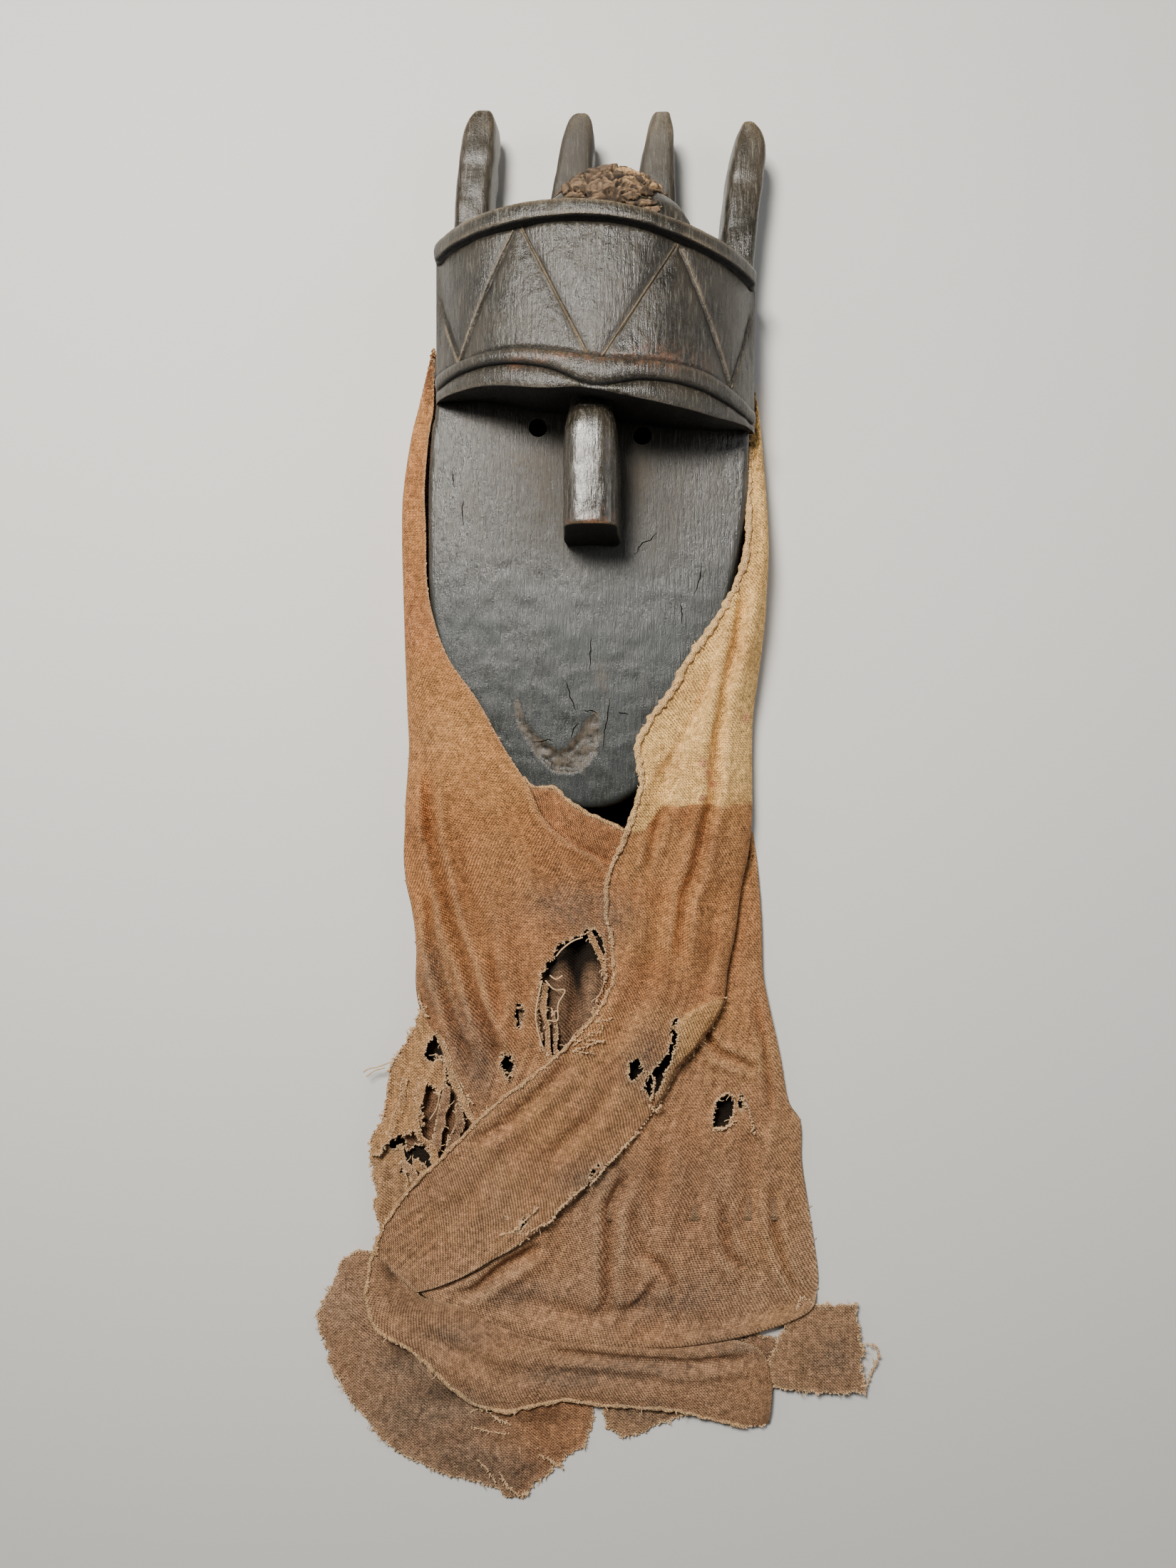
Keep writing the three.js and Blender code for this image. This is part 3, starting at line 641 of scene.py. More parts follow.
def stored(tree, name):
    """The value that a piece stores at each point under this name."""
    return put(tree, "Attribute", attribute_name=name).outputs["Fac"]


def tint(tree, colour, name, share, other):
    """A colour turned towards another where a piece stores a value, by up to a share."""
    return blend(tree, sum_up(tree, "MULTIPLY", stored(tree, name), share), colour, other)


def new_material(name):
    """A material, its node tree and its shader."""
    made = bpy.data.materials.new(name)
    made.use_nodes = True
    return made, made.node_tree, made.node_tree.nodes["Principled BSDF"]


x, y, z = points_of(mask).T
bend = bulge_of(mask)
brow_foot, roll_foot, roll_head, rim_foot, rim_head = (line(x) for line in CROWN_LINES)
from_line = from_zigzag(arc_of(x), y)
in_scar = scar(x, y)[1]
on_crown = smooth(z, 58, 66) * smooth(y, 296, 306) * (1 - smooth(y, 438, 444))
on_board = (z > 40) & (z < 62) & (y < 330)
on_nose = (np.abs(x - NOSE_MIDDLE) < 27) * (y < 292) * smooth(z, 60, 80)
# A grey film on the lower board, which also carries a painted cool sheen.
keep(mask, "film_and_sheen", on_board * (1 - smooth(y, 130, 250)) * (1 - 0.75 * in_scar))
# Rubbed bare: the sharp edges, the zigzag's ridges, the rim's and the brows' edges, the horn tips.
ridge = close(from_line, 1.25) * on_crown * (y > roll_head - 2) * (y < rim_foot + 2)
tips = 0.4 * smooth(y, 510, 538) + 0.08 * smooth(y, 445, 470)
rubbed = close(y - rim_head + 1.5, 1.6) + 0.7 * close(y - rim_foot - 1.8, 1.4)
rubbed = rubbed + 0.7 * close(y - brow_foot - 0.5, 1.2)
worn = smooth(bend, 0.05, 0.2) + 1.3 * ridge + 0.4 * rubbed * on_crown * (z > 66) + tips
keep(mask, "worn", np.clip(worn, 0, 1))
# Dark with old dirt: hollows, and the lines cut in beside the roll, the rim and the zigzag.
cut_in = close(y - roll_foot - 0.4, 1.5) + close(y - roll_head - 0.4, 1.5) + close(y - rim_foot + 1.2, 1.7)
cut_in = cut_in + 0.5 * close(from_line - 2.4, 1.1) * (y > roll_head) * (y < rim_foot)
keep(mask, "dirt_and_shade", np.clip(smooth(-bend, 0.03, 0.13) + cut_in * on_crown * (z > 70), 0, 1))
# Painted shade: the faces that look down, under the brow and the nose, are painted near black and made
# rough.
keep(mask, "underside_shade", smooth(-normals_of(mask)[:, 1], 0.5, 0.85) * (z > 57))
SMUDGES = [
    (8, 103, 4, 11), (14, 96, 3, 9), (-52, 268, 20, 9), (-34, 250, 8, 22), (40, 258, 8, 12),
    (-66, 300, 34, 5),
]
keep(mask, "scarred", np.clip(in_scar + 0.55 * spots(x, y, SMUDGES), 0, 1) * on_board)
# Shiny where hands touch it, smooth on the nose and horns, and dull on the board round the nose.
cheek = (1 - smooth(x, -112, -70)) * smooth(y, 120, 170)
keep(mask, "handled", np.clip(on_nose + on_board * (0.25 + 0.75 * cheek), 0, 1))
keep(mask, "smoothed", np.clip(on_nose + smooth(y, 440, 455), 0, 1))
keep(mask, "dull", close(x - NOSE_MIDDLE - 8, 58) * smooth(y, 165, 245) * (z < 66) * (z > 30))
red_at_nose = close(x - 2, 16) * (1 - smooth(y, 206, 222)) * (z > 70)
red_at_crown = on_crown * (spots(x, y, [(55, 322, 26, 9)]) + close(y - 318, 5) * (np.abs(x) < 60))
keep(mask, "reddened", np.clip(red_at_nose + 0.8 * red_at_crown, 0, 1))

wood, tree, shader = new_material("dark oiled wood")
place = put(tree, "TexCoord").outputs["Object"]
streaks = speckle(tree, place, (420, 22, 420), 5)
fibres = speckle(tree, place, (560, 60, 560), 3, 0.7)
pores = speckle(tree, place, (1700, 90, 1700), 3, 0.6)
patches = speckle(tree, place, (34, 24, 34), 5, 0.6)
fine = speckle(tree, place, (900, 900, 900), 3, 0.6)
mottle = speckle(tree, place, (190, 150, 190), 4, 0.6)
colour = blend(tree, fit(tree, patches, 0.4, 0.75, 0, 0.8), BLACK_WOOD, BROWN_WOOD)
colour = blend(tree, fit(tree, streaks, 0.46, 0.72, 0, 0.5), colour, BROWN_WOOD)
colour = blend(tree, fit(tree, pores, 0.58, 0.72, 0, 0.4), colour, PALE_GRAIN)
colour = blend(tree, fit(tree, fibres, 0.53, 0.68, 0, 0.6), colour, PALE_GRAIN)
# The grey film of the lower board, partly a painted cool sheen.
film_and_sheen = sum_up(tree, "MULTIPLY", stored(tree, "film_and_sheen"), fit(tree, patches, 0.3, 0.62, 0.55, 1))
colour = blend(tree, film_and_sheen, colour, GREY_FILM_AND_SHEEN)
colour = tint(tree, colour, "reddened", fit(tree, mottle, 0.42, 0.62, 0, 0.8), RED_WEAR)
worn = sum_up(tree, "MULTIPLY", stored(tree, "worn"), fit(tree, patches, 0.28, 0.62, 0.15, 1))
worn = sum_up(tree, "MULTIPLY", worn, fit(tree, fine, 0.35, 0.6, 0.1, 0.9))
colour = blend(tree, worn, colour, WORN_WOOD)
scarred = sum_up(tree, "MULTIPLY", stored(tree, "scarred"), fit(tree, mottle, 0.38, 0.6, 0.1, 0.95))
colour = blend(tree, scarred, colour, SCAR_WOOD)
dirt_and_shade = stored(tree, "dirt_and_shade")
colour = tint(tree, colour, "dirt_and_shade", 0.8, BLACK_WOOD)
# Painted shade: the down-facing undersides are turned near black.
underside_shade = stored(tree, "underside_shade")
colour = blend(tree, underside_shade, colour, UNDERSIDE_SHADE_WOOD)
colour = tint(tree, colour, "dull", 0.45, BROWN_WOOD)
rough = fit(tree, patches, 0.3, 0.7, 0.22, 0.35)
rough = sum_up(tree, "MULTIPLY_ADD", stored(tree, "dull"), 0.40, rough)
rough = sum_up(tree, "MULTIPLY_ADD", film_and_sheen, 0.08, rough)
rough = sum_up(tree, "ADD", rough, fit(tree, fine, 0.3, 0.7, -0.04, 0.07))
calm = fit(tree, stored(tree, "smoothed"), 0.0, 1.0, 1.0, 0.35)
rough = sum_up(tree, "MULTIPLY_ADD", fit(tree, fibres, 0.3, 0.7, -0.06, 0.14), calm, rough)
rough = sum_up(tree, "MULTIPLY_ADD", stored(tree, "handled"), -0.06, rough)
rough = sum_up(tree, "MULTIPLY_ADD", scarred, 0.2, rough)
rough = sum_up(tree, "MULTIPLY_ADD", dirt_and_shade, 0.18, rough)
rough = sum_up(tree, "MULTIPLY_ADD", underside_shade, 0.4, rough)
tree.links.new(colour, shader.inputs["Base Color"])
tree.links.new(rough, shader.inputs["Roughness"])
shader.inputs["Specular IOR Level"].default_value = 0.54
grain = sum_up(tree, "ADD", sum_up(tree, "MULTIPLY", streaks, 0.9), sum_up(tree, "MULTIPLY", pores, 0.6))
grain = sum_up(tree, "MULTIPLY_ADD", fibres, 1.0, grain)
grain = sum_up(tree, "MULTIPLY_ADD", fine, 0.4, grain)
dents = sum_up(tree, "MULTIPLY", mottle, fit(tree, stored(tree, "film_and_sheen"), 0.0, 1.0, 1.6, 0.5))
grain = sum_up(tree, "MULTIPLY", sum_up(tree, "ADD", dents, grain), calm)
bump = put(tree, "Bump", {"Height": grain, "Strength": 0.5, "Distance": 0.0011})
tree.links.new(bump.outputs[0], shader.inputs["Normal"])
mask.data.materials.clear()
mask.data.materials.append(wood)

# Crust on the crown
# A dried cake of poured and pressed stuff that has set on the carved dome and broken into
# plates and crumbs, in two layers with open cracks between them.
CRUST_SIZE = np.array([52.0, 48.5, 37.5])
CRUST_FOOT = 428.0
PLATE = 16.0
CRUMB = 6.5


def plates(seed, size, spot):
    """How near points are to a crack between plates, and a number from 0 to 1 for each plate."""
    spot = spot / size
    first = np.full(len(spot), 9.0)
    second = first.copy()
    owner = first.copy()
    for step in product((-1, 0, 1), repeat=3):
        cell = np.floor(spot) + step
        key = cell @ np.array([1.7, 5.9, 9.7]) + seed
        middle = cell + 0.5 + 0.42 * np.sin(np.stack([key * 12.9, key * 37.7, key * 71.3], -1))
        gap = np.linalg.norm(spot - middle, axis=1)
        closer = gap < first
        second = np.where(closer, first, np.minimum(second, gap))
        owner = np.where(closer, 0.5 + 0.5 * np.sin(key * 91.7), owner)
        first = np.where(closer, gap, first)
    return (second - first) * size, owner


def cake_cells(spot):
    """The plates, then the crumbs, at places measured from the middle of the dome."""
    bent = spot + 2.5 * np.stack([lumps(63 + k, 9, *spot.T) for k in range(3)], -1)
    return *plates(3, PLATE, bent * (0.8, 1.9, 1)), *plates(8, CRUMB, bent * (0.9, 1.4, 1))


def build_crust(around=220, down=120):
    turn = np.linspace(0, 2 * np.pi, around, endpoint=False)
    tilt = np.linspace(0.03, 2.2, down)[:, None]
    across, high = np.sin(tilt) * np.cos(turn), np.sin(tilt) * np.sin(turn)
    unit = np.stack([across, np.broadcast_to(np.cos(tilt), across.shape), high], -1)
    spot = unit * CRUST_SIZE
    spot[..., 2] += 2.0 * close(spot[..., 0] - 2, 26) * smooth(unit[..., 2], 0, 0.5)
    flat = spot.reshape(-1, 3)
    crack, owner, crumb, small = cake_cells(flat)
    layer = 2.2 * smooth(flat[:, 1] + 3 * lumps(66, 14, *flat.T), 27, 30) - 1.4
    rough = 1 - 0.8 * smooth(flat[:, 1], 34, 40) * (1 - smooth(flat[:, 0], -6, 2))
    push = layer + rough * (3.0 * (owner - 0.5) - 4.2 * close(crack, 1.1) - 1.6 * close(crumb, 0.7))
    push = push + rough * (0.9 * (small - 0.5) + 0.5 * lumps(68, 2.4, *flat.T))
    push = push + 0.8 * lumps(67, 6, *flat.T)
    points = flat + unit.reshape(-1, 3) * push[:, None]
    return closed_skin((points + DOME_AT).reshape(down, around, 3))


def box_between(low, high):
    """A plain box, as points and faces."""
    ring = [(low[0], low[2]), (high[0], low[2]), (high[0], high[2]), (low[0], high[2])]
    return closed_skin([[(x, y, z) for x, z in ring] for y in (low[1], high[1])])


crust = shape("crown_cake", *build_crust())
carve(crust, shape("foot", *box_between((-80, 360, -40), (120, CRUST_FOOT, 140))), cut=True)
carve(crust, shape("dome_room", *build_ball(DOME_AT, DOME_SIZE + 0.4, 0.8)), cut=True)
spot = points_of(crust) - DOME_AT
crack, owner, crumb, small = cake_cells(spot)
bend = bulge_of(crust, 1)
keep(crust, "plate", owner)
keep(crust, "crumb", small)
# Near black in the cracks, between the crumbs and in every hollow: painted shade there.
keep(crust, "crack", np.clip(close(crack, 1.7) + 0.7 * close(crumb, 0.8) + smooth(-bend, 0.08, 0.3), 0, 1))
keep(crust, "raised", smooth(bend, 0.08, 0.3))
keep(crust, "warm", smooth(spot[:, 0], -6, 14) * smooth(spot[:, 1], 20, 32))

CRUST_DARK = (0.060, 0.040, 0.028, 1)
CRUST_BROWN = (0.200, 0.128, 0.078, 1)
CRUST_TAN = (0.760, 0.460, 0.210, 1)
CRUST_CRACK_SHADE = (0.012, 0.009, 0.007, 1)
dried, tree, shader = new_material("dried crust")
place = put(tree, "TexCoord").outputs["Object"]
coarse = speckle(tree, place, (260, 260, 260), 5, 0.65)
grit = speckle(tree, place, (1300, 1300, 1300), 4, 0.65)
tone = sum_up(tree, "MULTIPLY_ADD", stored(tree, "plate"), 0.3, coarse)
tone = sum_up(tree, "MULTIPLY_ADD", stored(tree, "crumb"), 0.25, tone)
colour = blend(tree, fit(tree, tone, 0.5, 1.0), CRUST_DARK, CRUST_BROWN)
lit = sum_up(tree, "MULTIPLY", stored(tree, "warm"), fit(tree, stored(tree, "crumb"), 0.4, 0.8))
tan = sum_up(tree, "MULTIPLY_ADD", stored(tree, "raised"), 0.35, lit)
colour = blend(tree, sum_up(tree, "MULTIPLY", tan, fit(tree, grit, 0.35, 0.6, 0.2, 1)), colour, CRUST_TAN)
# Painted shade in the cracks and hollows.
colour = tint(tree, colour, "crack", 0.85, CRUST_CRACK_SHADE)
tree.links.new(colour, shader.inputs["Base Color"])
shader.inputs["Roughness"].default_value = 0.85
shader.inputs["Specular IOR Level"].default_value = 0.35
grain = sum_up(tree, "MULTIPLY_ADD", coarse, 1.5, grit)
bump = put(tree, "Bump", {"Height": grain, "Strength": 0.8, "Distance": 0.001})
tree.links.new(bump.outputs[0], shader.inputs["Normal"])
crust.data.materials.clear()
crust.data.materials.append(dried)
crust.data.shade_smooth()
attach(crust, "root")
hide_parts("crown_crust")

# Cape, left side
# Coarse brown handspun cotton. It comes up from behind the mask beside the face, lies over the
# edge of the board towards the chin and hangs down in long folds to a rotten, torn end.
THICK = 1.1
THREAD = 0.00125
LEFT_STATIONS = [
    ((-125, 372, 4), (-123, 366, 14)), ((-130, 348, 4), (-122, 342, 28)),
    ((-137, 318, 4), (-121, 312, 38)), ((-143, 292, 4), (-124, 290, 42)),
    ((-149, 250, 4), (-127, 250, 44)), ((-150, 215, 4), (-126, 212, 44)),
    ((-149, 180, 4), (-125, 176, 46)), ((-148, 145, 4), (-119, 146, 50)),
    ((-147, 110, 4), (-107, 115, 54)), ((-146, 77, 4), (-84, 82, 56)), ((-145, 45, 4), (-64, 46, 57)),
    ((-148, 7, 4), (-44, 15, 56)), ((-149, -15, 4), (-34, -6, 52)), ((-150, -39, 4), (-14, -26, 48)),
    ((-148, -62, 4), (12, -42, 44)), ((-143, -85, 4), (30, -66, 41)), ((-140, -115, 4), (36, -100, 38)),
    ((-140, -148, 5), (32, -140, 35)), ((-132, -170, 12), (10, -176, 32)),
    ((-114, -190, 22), (-22, -206, 29)), ((-107, -212, 24), (-48, -228, 27)),
    ((-99, -236, 24), (-66, -246, 25)), ((-88, -252, 23), (-78, -256, 23)),
]
LEFT_FOLDS = [
    (
        [
            (-126, 30), (-123, -24), (-116, -56), (-109, -90), (-98, -121), (-89, -153), (-79, -176),
            (-70, -204),
        ],
        7.5, 4.5,
    ),
    ([(-128, -70), (-125, -111), (-118, -134), (-109, -165), (-99, -193), (-92, -208)], 6.5, 3.8),
    ([(-73, 30), (-52, -12), (-39, -40), (-22, -66)], 5.0, 8.0),
    ([(-136, 106), (-110, 71), (-82, 28), (-73, 8)], 4.5, 8.0),
    ([(-140, 71), (-126, 24), (-123, -26)], 5.0, 5.5),
    ([(-143, -90), (-142, -130), (-138, -150)], 4.0, 4.0),
    ([(-100, -20), (-92, -70), (-80, -120), (-66, -160)], 4.0, 7.0),
    ([(-60, -30), (-56, -90), (-52, -150)], 2.6, 9.0),
    ([(-112, -120), (-104, -150), (-96, -178)], 3.5, 3.0),
    ([(-78, -110), (-74, -140), (-70, -170)], 3.0, 3.2),
]
BIG_TEAR = [
    (-28, -118), (-25, -107), (-14, -103), (4, -93), (12, -102), (14, -132), (3, -163), (-17, -188),
    (-28, -199), (-36, -188), (-39, -171), (-39, -143), (-36, -129),
]
LEFT_SLITS = [
    [(-56, -150), (-51, -156), (-52, -170), (-55, -178), (-58, -165)],
    [(-68, -194), (-60, -196), (-58, -207), (-62, -220), (-69, -208)],
]
TIES = [
    (0, 1, 1.0), (1, 0, 1.0), (1, 1, 0.45), (1, -1, 0.45), (0, 2, 0.16), (2, 0, 0.3), (0, 4, 0.06),
    (4, 0, 0.12),
]


def curve_through(line, t):
    """Places on a smooth curve through the places of a line, t counted in places from its start."""
    return np.stack([through(*enumerate(part))(t) for part in np.asarray(line, float).T], -1)


def even_steps(line, step=1.1):
    """How far along a line even steps lie, and where."""
    line = np.asarray(line, float)
    run = run_along(line)
    at = np.arange(0, run[-1], step)
    return at, np.stack([np.interp(at, run, part) for part in line.T], -1)


def stations(pairs, rows, columns):
    """Points between two edges that run through paired stations, row by row at an even spacing."""
    edges = np.array(pairs, float).transpose(1, 0, 2)
    fine = np.linspace(0, len(pairs) - 1, 600)
    middle = sum(curve_through(edge, fine) for edge in edges)[:, :2] / 2
    run = run_along(middle)
    along = np.linspace(0, run[-1], rows)
    outer, inner = (curve_through(edge, np.interp(along, run, fine)) for edge in edges)
    v = np.linspace(0, 1, columns)
    points = outer[:, None] + (inner - outer)[:, None] * v[None, :, None]
    width = np.linalg.norm((inner - outer)[:, :2], axis=1)
    across = (v[None] - 0.5) * width[:, None]
    return points, np.broadcast_to(along[:, None], across.shape), across, width[:, None]


def rounded_rise(points, knee=0.5):
    """Lifts the points between the edges in a rounded shoulder instead of a straight ramp."""
    v = np.linspace(0, 1, points.shape[1])[None]
    low, high = points[:, :1, 2].copy(), points[:, -1:, 2].copy()
    shoulder = np.sqrt(1 - (1 - np.minimum(1, v / knee)) ** 2) * 0.84 + 0.16 * v
    share = smooth(high - low, 6, 14)
    points[..., 2] = low + (high - low) * (shoulder * share + v * (1 - share))


def folded(x, y, folds):
    """The height that fold lines take away or add; a fold is a line, a depth and a width."""
    total = np.zeros(np.shape(x))
    for line, depth, width in folds:
        line = np.array(line, float)
        gap = away_from(x, y, line)
        start, end = line[0] - line[1], line[-1] - line[-2]
        before = ((x - line[0, 0]) * start[0] + (y - line[0, 1]) * start[1]) / np.linalg.norm(start)
        beyond = ((x - line[-1, 0]) * end[0] + (y - line[-1, 1]) * end[1]) / np.linalg.norm(end)
        fade = (1 - smooth(before, -14, 8)) * (1 - smooth(beyond, -14, 8))
        total = total - depth * fade * close(gap, width)
        total = total + 0.5 * depth * fade * close(gap - 2.1 * width, 1.3 * width)
    return total


def crumple(seed, along, across, strength=1.0):
    """Long soft folds down the cloth with small creases between them."""
    long = 1 - 2 * np.abs(lumps(seed, 1, across / 24 + 0.003 * along, along / 170))
    short = 1 - 2 * np.abs(lumps(seed + 1, 1, across / 9, along / 50))
    return strength * (1.9 * long + 0.6 * short - 1.0)


def settle(base, start, loose, low, high, rounds=130):
    """Lets a sheet buckle and settle, by moves in code. Its threads keep their length, it is loose
    across its width by a share, resists sharp bends and stays from low to high from its base."""
    across = np.empty_like(base)
    across[:, 1:-1] = base[:, 2:] - base[:, :-2]
    across[:, 0], across[:, -1] = base[:, 1] - base[:, 0], base[:, -1] - base[:, -2]
    across /= np.maximum(np.linalg.norm(across, axis=2, keepdims=True), 1e-9)
    loose = np.broadcast_to(loose, base.shape[:2])
    bottom = np.maximum(base[..., 2] - low, 1.6)
    top = np.maximum(base[..., 2] + high, 1.7)
    sheet = base.copy()
    sheet[..., 2] = np.clip(sheet[..., 2] + start, bottom, top)
    before = sheet.copy()
    ties = []
    for down, over, stiff in TIES:
        rows, columns = base.shape[:2]
        first = (slice(0, rows - down), slice(max(0, -over), columns - max(0, over)))
        second = (slice(down, rows), slice(max(0, over), columns + min(0, over)))
        gap = base[second] - base[first]
        reach = (gap * across[first]).sum(-1) ** 2
        more = (2 * loose + loose**2)[first]
        ties.append((first, second, np.sqrt((gap**2).sum(-1) + more * reach), stiff))
    for _ in range(rounds):
        sheet, before = sheet + 0.75 * (sheet - before), sheet
        move = np.zeros_like(sheet)
        for first, second, rest, stiff in ties:
            gap = sheet[second] - sheet[first]
            push = (stiff * (1 - rest / np.sqrt((gap**2).sum(-1))))[..., None] * gap
            move[first] += push
            move[second] -= push
        sheet = sheet + 0.2 * move
        sheet[..., :2] += 0.04 * (base - sheet)[..., :2]
        sheet[:, [0, -1], :2] += 0.5 * (base - sheet)[:, [0, -1], :2]
        sheet[..., 2] = np.clip(sheet[..., 2], bottom, top)
    return sheet


def inside(x, y, outline):
    """Whether points lie inside an outline of (x, y) places."""
    outline = np.asarray(outline, float)
    hits = np.zeros(np.shape(x), bool)
    for (ax, ay), (bx, by) in zip(outline, np.roll(outline, -1, axis=0)):
        if ay != by:
            hits ^= ((ay > y) != (by > y)) & (x < (bx - ax) * (y - ay) / (by - ay) + ax)
    return hits


def depth_in(x, y, outline, seed, ragged=1.5):
    """How deep points lie inside a ragged outline; less than 0 outside it."""
    gap = away_from(x, y, list(outline) + [outline[0]])
    torn = ragged * lumps(seed, 4.5, x, y) + 0.6 * ragged * lumps(seed + 1, 1.9, x, y)
    return np.where(inside(x, y, outline), gap, -gap) + torn


def deepest_in(x, y, holes, seed, ragged=1.5):
    """How deep points lie inside one of some ragged holes."""
    depths = [depth_in(x, y, hole, seed + i, ragged) for i, hole in enumerate(holes)]
    return np.max(depths, axis=0)


def sheet_skin(points, gone=None, thick=THICK):
    """The two sides and the cut edges of a sheet of cloth whose upper side is a grid of points.
    gone says how deep a place lies in a hole. Returns points, faces, grid places and the edge."""
    rows, columns, _ = points.shape
    top = points.reshape(-1, 3).copy()
    faces = quads(rows, columns)
    if gone is not None:
        depth = gone(top[:, 0], top[:, 1])
        hole = depth > 0
        faces = faces[~hole[faces].all(1)]
        moved = np.unique(faces[hole[faces]])
        x, y = top[moved, 0], top[moved, 1]
        gx = (gone(x + 0.4, y) - gone(x - 0.4, y)) / 0.8
        gy = (gone(x, y + 0.4) - gone(x, y - 0.4)) / 0.8
        step = np.minimum(depth[moved], 2.5) / np.maximum(np.hypot(gx, gy), 0.5) ** 2
        top[moved, 0] -= gx * step
        top[moved, 1] -= gy * step
    used, faces = np.unique(faces, return_inverse=True)
    faces = faces.reshape(-1, 4)
    top = top[used]
    across = np.cross(top[faces[:, 2]] - top[faces[:, 0]], top[faces[:, 3]] - top[faces[:, 1]])
    normal = np.zeros_like(top)
    for k in range(4):
        np.add.at(normal, faces[:, k], across)
    normal /= np.maximum(np.linalg.norm(normal, axis=1, keepdims=True), 1e-9)
    if normal[:, 2].mean() < 0:
        faces, normal = faces[:, ::-1], -normal
    count = len(top)
    starts, stops = faces.reshape(-1), np.roll(faces, -1, axis=1).reshape(-1)
    alone = ~np.isin(starts * count + stops, stops * count + starts)
    a, b = starts[alone], stops[alone]
    rim = np.stack([b, a, a + count, b + count], -1)
    faces = np.concatenate([faces, faces[:, ::-1] + count, rim])
    return np.vstack([top, top - normal * thick]), faces, np.tile(used, 2), top[a], top[b], normal[a]


def nearest_gap(points, others):
    """How far each point is from the nearest of some other points."""
    result = np.empty(len(points))
    for i in range(0, len(points), 4000):
        part = points[i : i + 4000, None, :2] - others[None, :, :2]
        result[i : i + 4000] = np.sqrt((part**2).sum(-1).min(1))
    return result


# Places on the cape where soot, wear or a dye shows: middle x and y, half width and half height.
# The soot spots on the flap below the foot's rolled edge are painted shade.
SOOT_AND_SHADE = [
    (-101, -180, 14, 34), (-84, -204, 12, 30), (-124, -132, 12, 30), (-24, -76, 34, 20),
    (12, -84, 26, 20), (46, -200, 18, 30), (0, -298, 26, 14), (120, -436, 30, 12), (-60, -395, 40, 12),
    (60, -400, 46, 16), (-140, -490, 34, 22), (-106, -480, 28, 15), (-150, -452, 24, 12),
    (-62, -540, 38, 18), (-104, -530, 34, 16), (196, -446, 26, 22), (45, -494, 34, 14),
    (40, -452, 60, 12), (-110, -425, 30, 12), (-20, -460, 40, 10),
]
PINK = [(88, 35, 3, 2.5), (96, 19, 3.5, 2), (88, 8, 3, 2.5), (124, 71, 3, 3.5), (92, 27, 1.6, 4)]
DYE_LINE = 3.0


def strands(edge, seed, share, length, radius, curl):
    """Loose thread ends along a torn edge: thin tubes that bend round by up to curl radians. edge
    holds where each bit of the edge starts and ends and which way is up from the cloth."""
    rng = np.random.default_rng(seed)
    pick = rng.random(len(edge[0])) < share
    a, b, up = (part[pick] for part in edge)
    count = len(a)
    run = (b - a) / np.maximum(np.linalg.norm(b - a, axis=1, keepdims=True), 1e-9)
    out = np.cross(run, up) + 0.6 * run * rng.normal(size=(count, 1))
    out = out + 0.3 * up * rng.normal(size=(count, 1))
    out /= np.linalg.norm(out, axis=1, keepdims=True)
    side = up * rng.normal(size=(count, 1)) + run * rng.normal(size=(count, 1))
    side -= out * (side * out).sum(1, keepdims=True)
    side /= np.linalg.norm(side, axis=1, keepdims=True)
    size = length * rng.uniform(0.4, 1.0, (count, 1))
    bend = curl * rng.uniform(0.4, 1.0, (count, 1))
    steps = 7
    line = np.empty((count, steps, 3))
    line[:, 0] = (a + b) / 2 - 0.4 * up - 0.8 * out
    for k in range(1, steps):
        turn = bend * k / steps
        line[:, k] = line[:, k - 1] + (out * np.cos(turn) + side * np.sin(turn)) * size / (steps - 1)
    line[..., 2] = np.maximum(line[..., 2], radius + 0.1)
    return tubes(line, radius)


def tubes(lines, radius, around=4):
    """Thin tubes along lines with the same number of points each; returns points and faces."""
    count, steps, _ = lines.shape
    run = np.gradient(lines, axis=1)
    run /= np.maximum(np.linalg.norm(run, axis=2, keepdims=True), 1e-9)
    side = np.cross(run, np.array([0.3, 0.2, 1.0]))
    side /= np.maximum(np.linalg.norm(side, axis=2, keepdims=True), 1e-9)
    other = np.cross(run, side)
    turn = np.linspace(0, 2 * np.pi, around, endpoint=False)
    taper = np.ones(steps)
    taper[-1] = 0.55
    ring = side[:, :, None] * np.cos(turn)[:, None] + other[:, :, None] * np.sin(turn)[:, None]
    points = lines[:, :, None] + ring * radius * taper[:, None, None]
    grid = quads(steps, around, wrap=True)
    faces = (grid[None] + (np.arange(count) * steps * around)[:, None, None]).reshape(-1, 4)
    ends = np.arange(count)[:, None] * steps * around
    near = ends + np.arange(around)[None, ::-1]
    far = ends + (steps - 1) * around + np.arange(around)[None]
    return points.reshape(-1, 3), np.concatenate([faces, near, far])


def at_each(value, x, y):
    """A value for each place, from a number or from a function of the place."""
    return value(x, y) if callable(value) else np.full(np.shape(x), float(value))


